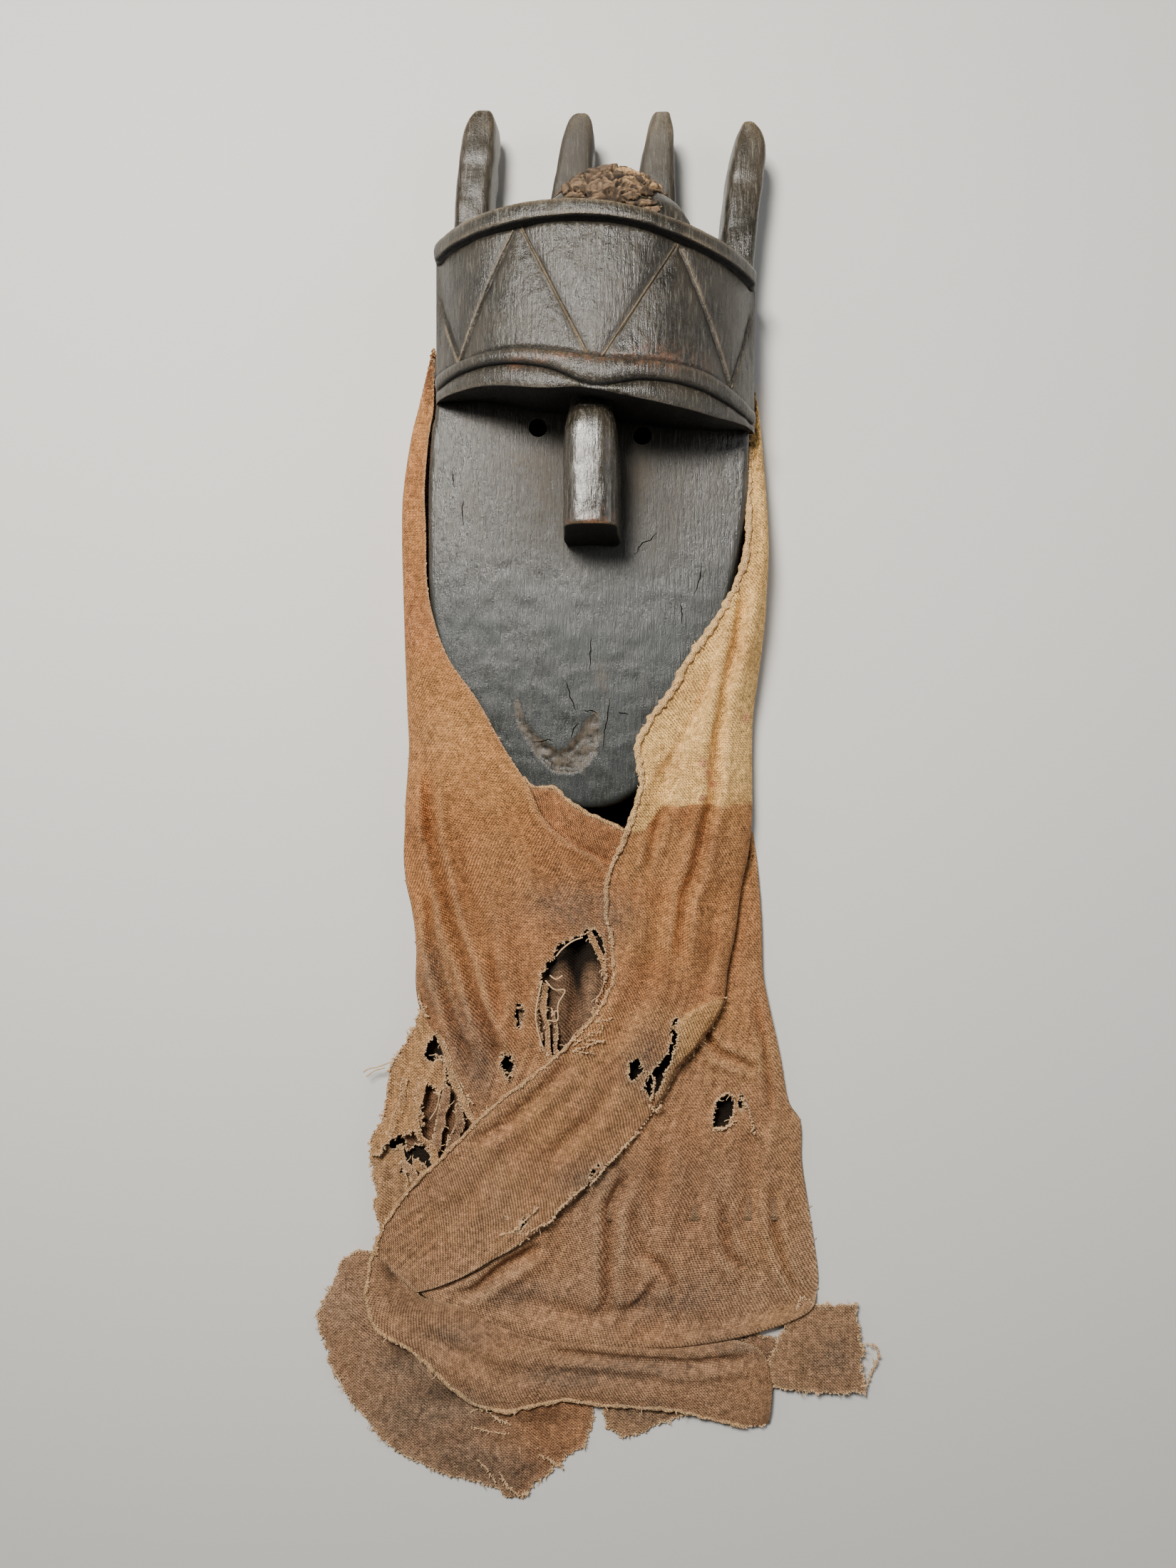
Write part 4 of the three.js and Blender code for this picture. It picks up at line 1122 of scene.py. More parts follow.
def dress(piece, along, across, frayed, tan, grey, soot_and_shade=0.0, deep=0.0):
    """Stores what the cotton material reads at each point, gives the piece the cotton and hangs it on the
    root.
    """
    x, y, _ = points_of(piece).T
    keep(piece, "along", along)
    keep(piece, "across", across)
    keep(piece, "frayed", frayed)
    keep(piece, "tan", at_each(tan, x, y))
    keep(piece, "grey", at_each(grey, x, y))
    keep(piece, "soot_and_shade", np.maximum(spots(x, y, SOOT_AND_SHADE), at_each(soot_and_shade, x, y)))
    # deep is a share of painted shade: near black where a piece lies in shade.
    keep(piece, "deep", at_each(deep, x, y))
    keep(piece, "pink", spots(x, y, PINK) * (x > 60))
    bend = bulge_of(piece, 2) if len(x) > 4000 and frayed.min() < 0.5 else np.zeros(len(x))
    # Darker in the creases: dirt there, and painted shade.
    keep(piece, "dirt_and_shade", smooth(-bend, 0.02, 0.22))
    # Lighter on the ridges: wear there, and a painted highlight.
    keep(piece, "rubbed", smooth(bend, 0.02, 0.22))
    piece.data.shade_smooth()
    piece.data.materials.append(cotton)
    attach(piece, "root")
    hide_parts("cloth")


def loose_piece(name, points, faces, tan, grey):
    """A piece that is loose threads all over; returns its name."""
    piece = shape(name, points, faces.tolist())
    dress(piece, *np.zeros((2, len(points))), np.ones(len(points)), tan, grey)
    return piece.name


def threads(name, edge, fringe, tan, grey):
    """Loose ends along an edge as one piece: many small loops and a few longer ends."""
    seed = len(edge[0])
    points, faces = strands(edge, seed, 0.12 * fringe, 7.0, 0.34, 2.2)
    for k, (length, radius) in enumerate([(3.2, 0.5), (4.2, 0.58)]):
        loops, more = strands(edge, seed + 1 + k, 0.75 * fringe, length, radius, 4.8)
        points, faces = np.vstack([points, loops]), np.vstack([faces, more + len(points)])
    return loose_piece(name, points, faces, tan, grey)


def cloth_piece(
    name, points, along, across, tan, grey, gone=None, fringe=0.0, thick=THICK, soot_and_shade=0.0, deep=0.0
):
    """One sheet of the cape, and its loose thread ends as a piece of their own. fringe is how much
    of each place of the edge has come loose, from 0 to 1."""
    skin, faces, places, *edge = sheet_skin(points, gone, thick)
    piece = shape(name, skin, faces.tolist())
    frayed = 0.5 * np.exp(-nearest_gap(skin, edge[0]) / 1.3)
    run = [np.asarray(grid).reshape(-1)[places] / 1000 for grid in (along, across)]
    dress(piece, *run, frayed, tan, grey, soot_and_shade, deep)
    loose = at_each(fringe, edge[0][:, 0], edge[0][:, 1])
    return piece, [threads(name + "_threads", edge, loose, tan, grey)] if loose.max() > 0 else []


def fuzz(name, lines, tan, grey, fringe=1.0):
    """Tufts of loose ends along lines of (x, y, z) places."""
    paths = [even_steps(line)[1] for line in lines]
    starts = np.concatenate([path[:-1] for path in paths])
    ends = np.concatenate([path[1:] for path in paths])
    up = np.tile([0.0, 0.0, 1.0], (len(starts), 1))
    return threads(name, (starts, ends, up), fringe, tan, grey)


def strings(name, lines, tan, grey, radius=0.5):
    """Loose strings, each along a smooth curve through a few (x, y, z) places."""
    paths = [curve_through(line, np.linspace(0, len(line) - 1, 30)) for line in lines]
    points, faces = tubes(np.array(paths), radius)
    return loose_piece(name, points, faces, tan, grey)


def strip(name, line, wide, tan, grey, soot_and_shade=0.0, deep=0.0):
    """A narrow torn strip of cloth along a line of (x, y, z) places, with its loose ends."""
    length = run_along(np.array(line, float))[-1]
    line = curve_through(line, np.linspace(0, len(line) - 1, 9))
    line[:, 0] += 1.2 * lumps(57, 8, line[:, 1], wide)
    way = np.gradient(line[:, :2], axis=0)
    way /= np.linalg.norm(way, axis=1, keepdims=True)
    turned = 0.9 * lumps(58, 13, line[:, 1], line[:, 0])
    side = np.stack([way[:, 1], -way[:, 0], turned], -1) * (1 - 0.5 * np.abs(turned[:, None])) * wide / 2
    pairs = list(zip(line - side, line + side))
    points, along, across, _ = stations(pairs, int(length / 1.3) + 4, 7)
    points[..., 2] += 0.8 * lumps(len(line), 4, points[..., 0], points[..., 1])
    piece, extra = cloth_piece(name, points, along, across, tan, grey, fringe=0.3, soot_and_shade=soot_and_shade, deep=deep)
    return [piece.name] + extra


DARK_COTTON = (0.170, 0.070, 0.026, 1)
BROWN_COTTON = (0.520, 0.212, 0.080, 1)
TAN_COTTON = (1.000, 0.605, 0.215, 1)
GREY_COTTON = (0.385, 0.232, 0.138, 1)
SOOT_AND_SHADE_COTTON = (0.185, 0.130, 0.092, 1)
FRAY_COTTON = (0.760, 0.540, 0.320, 1)
PINK_DYE = (0.560, 0.130, 0.130, 1)
PAINTED_SHADE_COTTON = (0.010, 0.008, 0.006, 1)

cotton, tree, shader = new_material("brown cotton")
place = put(tree, "TexCoord").outputs["Object"]
blotch = speckle(tree, place, (28, 22, 28), 5, 0.6)
mottle = speckle(tree, place, (170, 150, 170), 5, 0.65)
fuzzy = speckle(tree, place, (1000, 1000, 1000), 3, 0.6)
lint = speckle(tree, place, (620, 620, 620), 1)
wander = sum_up(tree, "MULTIPLY", fit(tree, speckle(tree, place, (60, 60, 60), 2), 0.3, 0.7, -1, 1), 0.0004)
weft = sum_up(tree, "ADD", stored(tree, "along"), wander)
warp = sum_up(tree, "ADD", stored(tree, "across"), wander)


def thread_wave(run):
    """A wave with one half-turn to each thread."""
    return sum_up(tree, "SINE", sum_up(tree, "MULTIPLY", run, np.pi / THREAD))


def yarn_noise(run, other, across, along, rough=0.5):
    """Noise that differs from thread to thread and changes slowly along each of them."""
    spot = {0: sum_up(tree, "MULTIPLY", run, across), 1: sum_up(tree, "MULTIPLY", other, along)}
    spot = put(tree, "CombineXYZ", spot).outputs[0]
    settings = {"Vector": spot, "Scale": 1.0, "Detail": 2.0, "Roughness": rough}
    return put(tree, "TexNoise", settings).outputs["Fac"]


def shade(colour, amount):
    """A colour made darker or lighter by an amount around 1."""
    return put(tree, "VectorMath", {0: colour, 1: amount}, operation="MULTIPLY").outputs[0]


# The handspun yarn is thicker and thinner in long bands, and no thread is as light as the next.
thick_weft, thick_warp = (yarn_noise(*runs, 430.0, 130.0, 0.7) for runs in ((weft, warp), (warp, weft)))
slubs = sum_up(tree, "MULTIPLY", sum_up(tree, "ADD", thick_weft, thick_warp), 0.5)
weft_tone, warp_tone = (yarn_noise(*runs, 1 / THREAD, 240.0) for runs in ((weft, warp), (warp, weft)))
weft_wave, warp_wave = thread_wave(weft), thread_wave(warp)
over = sum_up(tree, "GREATER_THAN", sum_up(tree, "MULTIPLY", weft_wave, warp_wave), 0.0)
weft_round, warp_round = sum_up(tree, "ABSOLUTE", weft_wave), sum_up(tree, "ABSOLUTE", warp_wave)
weave = put(tree, "Mix", {0: over, 2: weft_round, 3: warp_round}).outputs[0]
tone = put(tree, "Mix", {0: over, 2: weft_tone, 3: warp_tone}).outputs[0]
colour = blend(tree, fit(tree, blotch, 0.35, 0.68), DARK_COTTON, BROWN_COTTON)
colour = blend(tree, 0.5, colour, BROWN_COTTON)
colour = tint(tree, colour, "tan", fit(tree, blotch, 0.2, 0.55, 0.82, 1), TAN_COTTON)
colour = tint(tree, colour, "grey", fit(tree, blotch, 0.3, 0.6, 0.7, 1), GREY_COTTON)
# Soot colour, which on the flap, the back and the corner piece is painted shade.
colour = tint(tree, colour, "soot_and_shade", fit(tree, mottle, 0.25, 0.65, 0.25, 0.75), SOOT_AND_SHADE_COTTON)
colour = tint(tree, colour, "pink", 0.7, PINK_DYE)
colour = shade(colour, fit(tree, mottle, 0.3, 0.7, 1.24, 0.74))
colour = shade(colour, fit(tree, slubs, 0.38, 0.62, 0.66, 1.34))
# Painted shade and dirt in the creases.
colour = tint(tree, colour, "dirt_and_shade", 0.6, shade(colour, (0.42, 0.34, 0.28)))
# Wear and a painted highlight on the ridges.
colour = tint(tree, colour, "rubbed", 0.15, FRAY_COTTON)
colour = shade(colour, fit(tree, tone, 0.25, 0.75, 0.55, 1.45))
colour = shade(colour, fit(tree, sum_up(tree, "MULTIPLY_ADD", fuzzy, 0.5, weave), 0.15, 1.0, 0.62, 1.08))
flecks = sum_up(tree, "MULTIPLY", fit(tree, lint, 0.68, 0.76), fit(tree, mottle, 0.4, 0.6, 0.2, 0.75))
colour = blend(tree, flecks, colour, FRAY_COTTON)
colour = tint(tree, colour, "frayed", 0.6, FRAY_COTTON)
# Painted shade: near black by the share that deep stores.
colour = blend(tree, stored(tree, "deep"), colour, PAINTED_SHADE_COTTON)
tree.links.new(colour, shader.inputs["Base Color"])
shader.inputs["Roughness"].default_value = 0.95
shader.inputs["Specular IOR Level"].default_value = 0.15
height = sum_up(tree, "MULTIPLY_ADD", fuzzy, 0.8, sum_up(tree, "MULTIPLY_ADD", tone, 0.8, weave))
height = sum_up(tree, "MULTIPLY_ADD", slubs, 2.2, height)
height = sum_up(tree, "MULTIPLY_ADD", mottle, 2.0, height)
bump = put(tree, "Bump", {"Height": height, "Strength": 1.0, "Distance": 0.0008})
tree.links.new(bump.outputs[0], shader.inputs["Normal"])


def left_gone(x, y):
    return deepest_in(x, y, [BIG_TEAR] + LEFT_SLITS, 81)


def brown_left(x, y):
    """How tan the left side is: lighter down its middle, browner above and below."""
    return 0.03 + 0.1 * close(y - 60, 80) + 0.1 * lumps(95, 40, x, y)


def dusty(x, y):
    """How grey the cape is, more towards the floor."""
    return np.clip(0.75 * smooth(-y, 0, 380) + 0.14 * lumps(96, 45, x, y), 0, 1)


def left_torn(x, y):
    """How loose the left side's edge is: at its holes and along its torn end."""
    return np.clip(smooth(left_gone(x, y), -4, -1) + smooth(-y, 158, 170) + 0.05, 0, 1)


points, along, across, width = stations(LEFT_STATIONS, 320, 84)
rounded_rise(points)
x, y = points[..., 0], points[..., 1]
hang = smooth(-y, -60, 20)
rotten = smooth(-y, 100, 160)
folds = folded(x, y, LEFT_FOLDS) * (0.25 + 0.75 * hang)
points[..., 2] += folds + crumple(91, along, across) * hang * (0.3 + 0.5 * rotten)
start = crumple(92, along, across) * (0.3 + 0.3 * rotten)
loose = (0.01 + 0.02 * hang + 0.05 * rotten) * (1 + 0.6 * lumps(94, 40, x, y))
points = settle(points, start, loose, 0.6 + 5.5 * hang, 2.5 + 4.5 * hang)
from_edge = (1 - np.linspace(0, 1, points.shape[1])[None]) * width
turned = smooth(-y, -22, -8) * (1 - smooth(-y, 50, 70))
points[..., 2] += turned * (1.6 * close(from_edge - 6, 4) - 3.2 * np.clip(1 - from_edge / 4, 0, 1) ** 2)
points[..., 2] += 0.22 * lumps(97, 5, x, y) + 0.12 * lumps(98, 2.6, across, along / 2)
cape_left, extra = cloth_piece("cape_left", points, along, across, brown_left, dusty, left_gone, left_torn)
# Strips and strings that hang in the big tear. A strip has its line, width, tan, grey, soot and, for one, a
# share of painted shade.
TEAR_STRIPS = {
    "right": ([(1, -96, 37), (6, -108, 36), (11, -120, 35), (13.5, -132, 33)], 5.0, 0.25, 0.4),
    "left": ([(-33, -138, 33), (-35, -156, 31), (-33, -176, 30), (-30, -200, 29)], 5.5, 0.2, 0.6),
    "low": ([(-27, -160, 31), (-26, -178, 30), (-25, -192, 28), (-23, -204, 26)], 4.0, 0.1, 0.6, 0.6),
}
for name, look in TEAR_STRIPS.items():
    extra += strip("tear_strip_" + name, *look)
TEAR_STRINGS = [
    [(-36, -135, 37), (-39, -148, 37), (-41, -162, 37), (-39, -176, 36), (-35, -189, 35)],
    [
        (-33.5, -135, 36), (-26.4, -142, 37), (-18, -143, 36), (-23.5, -154, 36), (-24, -166.5, 35),
        (-32, -166.5, 35),
    ],
    [(-30, -131, 36), (-25, -134, 37), (-20, -131, 37)],
    [(-4, -101, 38), (-12, -104, 38), (-20, -110, 38), (-25, -116, 38)],
]
extra.append(strings("tear_strings", TEAR_STRINGS, 0.5, 0.4, 0.62))

# Inner layer behind the big tear
# A far layer of the same cloth, which shows olive brown and deep in shade through the tear, with
# one sharp fold down its middle.
INNER_STATIONS = [
    ((-54, -86, 24), (32, -84, 24)), ((-56, -115, 24), (36, -115, 25)), ((-56, -150, 23), (32, -150, 25)),
    ((-54, -180, 21), (16, -182, 24)), ((-50, -206, 19), (-14, -208, 20)),
]
INNER_FOLDS = [([(-6, -80), (-9, -130), (-12, -190)], 9.0, 6.0)]


def tear_shade(x, y):
    """How deep in shade the inner layer lies: black at the top, at the foot and down the fold."""
    fold = 0.85 * close(x + 9 + 0.06 * (y + 130), 5) * smooth(y, -172, -132)
    side = 0.6 * close(x + 31, 4.5)
    return np.clip(0.2 + smooth(y, -140, -110) + fold + side + smooth(-y, 180, 197), 0, 0.97)


points, along, across, _ = stations(INNER_STATIONS, 76, 54)
x, y = points[..., 0], points[..., 1]
points[..., 2] += folded(x, y, INNER_FOLDS) + 0.4 * crumple(87, along, across)
cape_inner, _ = cloth_piece("cape_inner", points, along, across, 0.0, 0.7, soot_and_shade=0.7, deep=tear_shade)

# Cape, right side
# The same cotton, cut or worn to a front edge that has rolled up along its length. It crosses
# over the left side below the chin and runs down to the lower left, where it meets the floor.
RIGHT_STATIONS = [
    ((134, 338, 4), (131, 330, 16)), ((138, 310, 4), (128, 300, 34)), ((143, 255, 4), (125, 250, 42)),
    ((145, 210, 4), (123, 205, 50)), ((144, 180, 4), (115, 175, 54)), ((143, 152, 4), (98, 145, 57)),
    ((140, 123, 4), (80, 119, 58)), ((137, 100, 4), (64, 91, 59)), ((134, 77, 4), (47, 67, 59)),
    ((133, 50, 4), (38, 49, 59)), ((133, 19, 5), (41, 22, 58)), ((133, -5, 7), (35, -2, 56)),
    ((130, -35, 9), (28, -24, 54)), ((123, -67, 13), (16, -52, 51)), ((118, -100, 16), (14, -80, 48)),
    ((112, -128, 18), (19, -110, 45)), ((107, -158, 22), (18, -137, 42)), ((91, -185, 23), (3, -164, 40)),
    ((71, -208, 23), (-19, -188, 37)), ((54, -239, 23), (-47, -213, 34)),
    ((32, -266, 22), (-75, -235, 31)), ((11, -289, 21), (-97, -258, 28)),
    ((-12, -312, 20), (-119, -280, 25)), ((-46, -343, 18), (-138, -299, 21)),
    ((-86, -368, 16), (-155, -321, 17)), ((-116, -384, 13), (-166, -340, 14)),
    ((-140, -392, 10), (-171.5, -362, 11)),
]
RIGHT_FOLDS = [
    (
        [
            (121, 167), (115, 128), (106, 93), (99, 47), (97, 9), (91, -12), (83, -50), (75, -69),
            (72, -96), (71, -117),
        ],
        7.0, 4.5,
    ),
    ([(94, 109), (80, 81), (62, 47), (55, 9), (48, -25)], 6.0, 8.0),
    ([(57, 0), (48, -34), (45, -48)], 4.0, 3.0),
    ([(-12, -198), (-39, -227), (-66, -251), (-90, -266)], 4.0, 5.0),
    ([(21, -217), (3, -246), (-17, -266), (-36, -284)], 3.5, 6.0),
    ([(60, -60), (52, -110), (40, -150), (16, -190)], 3.5, 8.0),
    ([(100, -60), (98, -110), (88, -150)], 3.5, 7.0),
    ([(-50, -262), (-84, -296), (-110, -330)], 2.5, 9.0),
]
RIGHT_HOLES = [
    [(31, -200), (39, -195), (45, -205), (38, -216), (32, -212)],
    [
        (45, -212), (55, -202), (64, -188), (66, -166), (71, -161), (70, -183), (64, -204), (57, -221),
        (49, -232), (44, -222),
    ],
    [(8, -284), (14, -279), (5, -292), (-3, -301), (-1, -294)],
    [(-52, -327), (-45, -325), (-53, -340), (-59, -345)], [(-68, -325), (-63, -327), (-67, -333)],
]
# The cloth between the big hole and the outer edge has turned over and shows its paler side.
TURNED_OVER = [
    (70, -167), (87, -155), (101, -149), (109, -152), (104, -161), (90, -184), (70, -206), (62, -223),
    (53, -237), (56, -215), (66, -190),
]
ROLL = [2.0, 2.8, 2.9, 2.6, 1.8, 1.5, 1.5, 1.6, 1.5]


def right_gone(x, y):
    return deepest_in(x, y, RIGHT_HOLES, 101, 0.9)


def turned_over(x, y):
    return smooth(depth_in(x, y, TURNED_OVER, 109, 1.0), -1.5, 1.5)


def tan_right(x, y):
    """How tan the right side is: undyed above the dye line, and paler where it has turned over."""
    line = DYE_LINE - 20 * (1 - smooth(x, 40, 60)) + 1.6 * lumps(115, 7, x, y)
    undyed = smooth(y - line, -1.2, 1.2) * (0.85 + 0.3 * lumps(116, 30, x, y))
    return np.clip(undyed + 0.08 + 0.08 * lumps(117, 20, x, y) + 0.3 * turned_over(x, y), 0, 1)


def right_torn(x, y):
    """How loose the right side's edge is: at its holes, along its torn end and little elsewhere."""
    sides = np.array(RIGHT_STATIONS)[:, :, :2].transpose(1, 0, 2)
    outer, front_edge = (away_from(x, y, side) < 3 for side in sides)
    torn = outer * smooth(-y, 148, 158) * (1 - smooth(-y, 345, 360))
    return np.clip(smooth(right_gone(x, y), -4, -1) + torn + 0.25 * front_edge, 0, 1)


def rolled_edge(name, line, radii, seed, tan, grey):
    """The rolled, frayed front edge as a soft cord along a line, as thick as radii say on the way."""
    at, centre = even_steps(line)
    turn = np.linspace(0, 2 * np.pi, 12, endpoint=False)
    way = np.gradient(centre, axis=0)
    way /= np.linalg.norm(way, axis=1, keepdims=True)
    side = np.cross(way, [0, 0, 1.0])
    side /= np.linalg.norm(side, axis=1, keepdims=True)
    up = np.cross(side, way)
    size = np.interp(at, np.linspace(0, run_along(line)[-1], len(radii)), radii)
    size *= 1 + 0.3 * lumps(seed, 6, at, 0) + 0.3 * lumps(seed + 1, 2.5, at, 0)
    sway, lift = 0.9 * lumps(seed + 3, 7, at, 0), 0.5 * lumps(seed + 4, 5, at, 0)
    centre += sway[:, None] * side + lift[:, None] * up
    twist = 0.14 * np.sin(at[:, None] / 1.3 + 2 * turn)
    reach = size[:, None] * (1 + twist + 0.08 * lumps(seed + 2, 1.2, at[:, None], turn))
    wide, high = (reach * np.cos(turn))[..., None], (0.8 * reach * np.sin(turn))[..., None]
    rings = centre[:, None] + wide * side[:, None] + high * up[:, None]
    for end in (0, -1):
        rings[end] = rings[end].mean(0) + 0.4 * (rings[end] - rings[end].mean(0))
    skin, faces = closed_skin(rings)
    piece = shape(name, skin, faces)
    places = np.append(np.repeat(at, 12), [at[0], at[-1]]) / 1000
    round_it = np.append((turn * size[:, None]).reshape(-1), [0, 0]) / 1000
    dress(piece, places, round_it, np.full(len(skin), 0.5), tan, grey)
    return piece.name


points, along, across, _ = stations(RIGHT_STATIONS, 340, 72)
rounded_rise(points, 0.45)
x, y = points[..., 0], points[..., 1]
low = smooth(-y, -60, 40)
board_side = right_edge(np.maximum(y, 0))
clear = np.minimum(1, 0.12 + smooth(x, board_side - 4, board_side + 4) + smooth(-y, -4, 8))
points[..., 2] += folded(x, y, RIGHT_FOLDS) * clear + 0.3 * crumple(111, along, across) * clear
start = crumple(112, along, across) * 0.35
loose = (0.02 + 0.02 * low) * (1 + 0.6 * lumps(114, 40, x, y))
points = settle(points, start, loose, 0.8 + 4.5 * clear, 3.0 + 2.5 * low)
points[..., 2] += 0.22 * lumps(118, 5, x, y) + 0.12 * lumps(119, 2.6, across, along / 2)
points[..., 2] += 3.0 * turned_over(x, y)
front = points[:, -1].copy()
cape_right, extra = cloth_piece(
    "cape_right", points, along, across, tan_right, dusty, right_gone, right_torn
)
front[:, 2] += 0.6


def tan_roll(x, y):
    return np.clip(tan_right(x, y) + 0.15, 0, 1)


RIGHT_TUFTS = [
    [(72, -166, 31), (87, -154, 30), (101, -148, 28), (109, -151, 27)],
    [(58, -234, 29), (53, -240, 28), (48, -234, 30)],
    [(45, -205, 33), (52, -213, 33), (51, -226, 32), (48, -232, 31)],
    [(88, 131, 59), (85, 126, 59), (89, 122, 59)],
    [(-3, -301, 24), (-22, -318, 22), (-30, -330, 21), (-52, -341, 19)],
    [(40, -258, 24), (28, -270, 24), (14, -286, 23), (2, -300, 22)],
    [(-40, -318, 24), (-50, -328, 22), (-60, -338, 20), (-72, -342, 19)],
]
WORN_PATCH = [
    (20, -152, 43), (6, -166, 43), (18, -164, 42), (0, -176, 41), (13, -172, 41), (-8, -182, 40),
    (8, -182, 40), (-12, -190, 39), (4, -192, 39), (-2, -182, 41), (14, -182, 40),
]
extra.append(rolled_edge("cape_right_roll", front[20:], ROLL, 120, tan_roll, 0.25))
extra.append(fuzz("cape_right_tufts", RIGHT_TUFTS, 0.25, 0.4))
extra.append(fuzz("cape_right_patch", [WORN_PATCH], 0.25, 0.3, 0.5))
extra.append(fuzz("roll_threads", [front[20:130] + (0, 0, 1.8)], 0.5, 0.3, 0.12))
extra.append(fuzz("roll_low_threads", [front[130:] + (0, 0, 1.0)], 0.3, 0.4, 0.45))

# Turn of the cape under the chin
# Below the left side's rounded edge its far layer shows, drawn up under the chin, with a light
# rolled and stitched edge along its top.
TURN_STATIONS = [
    ((-56, 26, 50.5), (-50, 25, 53.6)), ((-48, 8, 49.5), (-42, 17, 54)),
    ((-42, -4, 47.5), (-26, 15.5, 53.6)), ((-33, -16, 45.5), (-17.5, 7.5, 52.8)),
    ((-20, -30, 43), (-3.5, -2, 51)), ((-4, -42, 41), (10.5, -9, 49)), ((12, -52, 39), (26, -16, 47)),
    ((24, -60, 38), (34, -22, 46)),
]
points, along, across, _ = stations(TURN_STATIONS, 64, 30)
v = np.linspace(0, 1, points.shape[1])[None]
x, y = points[..., 0], points[..., 1]
points[..., 2] += 2.4 * np.sin(np.pi * v) ** 0.8 + 1.1 * lumps(171, 9, x, y)
points[..., 2] -= 2.0 * close(away_from(x, y, [(-12, -24), (4, -36), (22, -44)]), 1.8)
top_line = points[:, -1].copy()
cape_turn, extra = cloth_piece("cape_turn", points, along, across, 0.0, 0.05, soot_and_shade=0.2)
extra.append(rolled_edge("cape_turn_roll", top_line, [1.5, 1.5], 172, 0.4, 0.15))

# Skirt of the cape
# The far side of the same cloth, which shows below the crossing and spreads out to the right.
# It lies on the floor along its side and is tucked under along its foot.
SKIRT_STATIONS = [
    ((134, -20, 3), (120, -14, 6)), ((138, -50, 3), (112, -50, 12)), ((141, -91, 3), (95, -92, 15)),
    ((142, -131, 3), (80, -133, 17)), ((146, -155, 3), (66, -160, 18)), ((156, -200, 3), (40, -205, 18)),
    ((163, -238, 3), (10, -240, 18)), ((173, -256, 3), (-10, -262, 18)),
    ((174, -288, 3), (-30, -290, 15)), ((179, -322, 3), (-60, -318, 12)),
    ((184, -355, 3), (-88, -340, 9)), ((187, -386, 3), (-112, -362, 6)),
    ((180, -407, 3), (-140, -392, 5)),
]
SKIRT_FOLDS = [
    ([(30, -298), (18, -325), (16, -374), (15, -411)], 8.0, 5.0),
    ([(35, -320), (44, -362), (62, -374), (74, -397)], 5.0, 5.0), ([(59, -380), (37, -410)], 4.0, 4.5),
    ([(149, -312), (152, -343), (162, -377), (175, -400)], 6.0, 4.5),
    ([(107, -318), (114, -363), (129, -375)], 5.5, 4.5),
    ([(88, -174), (105, -197), (134, -209)], 4.5, 3.5),
    ([(134, -152), (143, -192), (149, -244)], 5.0, 3.6),
    ([(-146, -380), (-110, -399), (-89, -390), (-68, -372), (-40, -357)], 7.0, 5.0),
    ([(80, -250), (90, -300), (84, -350)], 4.0, 8.0), ([(128, -260), (132, -300), (130, -340)], 3.5, 7.0),
    ([(60, -270), (52, -320), (50, -360)], 3.0, 6.0), ([(-60, -400), (0, -412), (60, -404)], 3.0, 6.0),
]
SKIRT_HOLES = [
    [(102, -235), (111, -229), (118, -233), (117, -247), (110, -256), (100, -257)],
    [(121, -229), (126, -232), (124, -243), (120, -240)],
]


def skirt_gone(x, y):
    return deepest_in(x, y, SKIRT_HOLES, 121, 0.9)


def brown_skirt(x, y):
    return np.clip(0.04 + 0.1 * smooth(x, 90, 150) + 0.1 * lumps(135, 34, x, y), 0, 1)


def skirt_torn(x, y):
    return np.clip(smooth(skirt_gone(x, y), -4, -1) + 0.1 * smooth(x, 130, 150), 0, 1)


def skirt_shade(x, y):
    """Painted black shade where only the holes of the right side show it."""
    return 0.97 * smooth(right_gone(x, y), -6, -2)


points, along, across, _ = stations(SKIRT_STATIONS, 170, 130)
rounded_rise(points, 0.16)
v = np.linspace(0, 1, points.shape[1])[None]
foot = smooth(along, along.max() - 110, along.max())
points[..., 1] -= 40 * foot * np.sin(np.pi * v) ** 0.7
x, y = points[..., 0], points[..., 1]
held_down = smooth(v, 0, 0.12) * smooth(1 - v, 0, 0.1)
points[..., 2] += (folded(x, y, SKIRT_FOLDS) + 0.5 * crumple(131, along, across)) * held_down
start = 0.5 * crumple(132, along, across) * smooth(v, 0, 0.12)
loose = 0.035 * (1 + 0.6 * lumps(134, 40, x, y)) * smooth(v, 0, 0.1)
points = settle(points, start, loose, 7.0, 5.0)
points[..., 2] += 0.24 * lumps(138, 5, x, y) + 0.12 * lumps(139, 2.6, across, along / 2)
tuck = np.clip((along - along.max() + 11) / 11, 0, 1)
even = smooth(along, along.max() - 24, along.max() - 4)
foot_level = 8.0 + 3.5 * smooth(x, -110, -20)
points[..., 2] = points[..., 2] * (1 - even) + foot_level * even
points[..., 2] = np.maximum(4 + (points[..., 2] - 4) * np.sqrt(1 - tuck**2), 1.6)
cape_skirt, extra = cloth_piece(
    "cape_skirt", points, along, across, brown_skirt, dusty, skirt_gone, skirt_torn, deep=skirt_shade
)
SKIRT_TUFTS = [
    [(102, -235, 19), (110, -228, 19), (118, -232, 19)],
    [(122, -232, 19), (128, -240, 19), (131, -252, 19), (134, -262, 18)],
    [(100, -257, 19), (110, -257, 19), (118, -250, 19)],
]
extra.append(fuzz("skirt_tufts", SKIRT_TUFTS, 0.3, 0.4, 0.9))

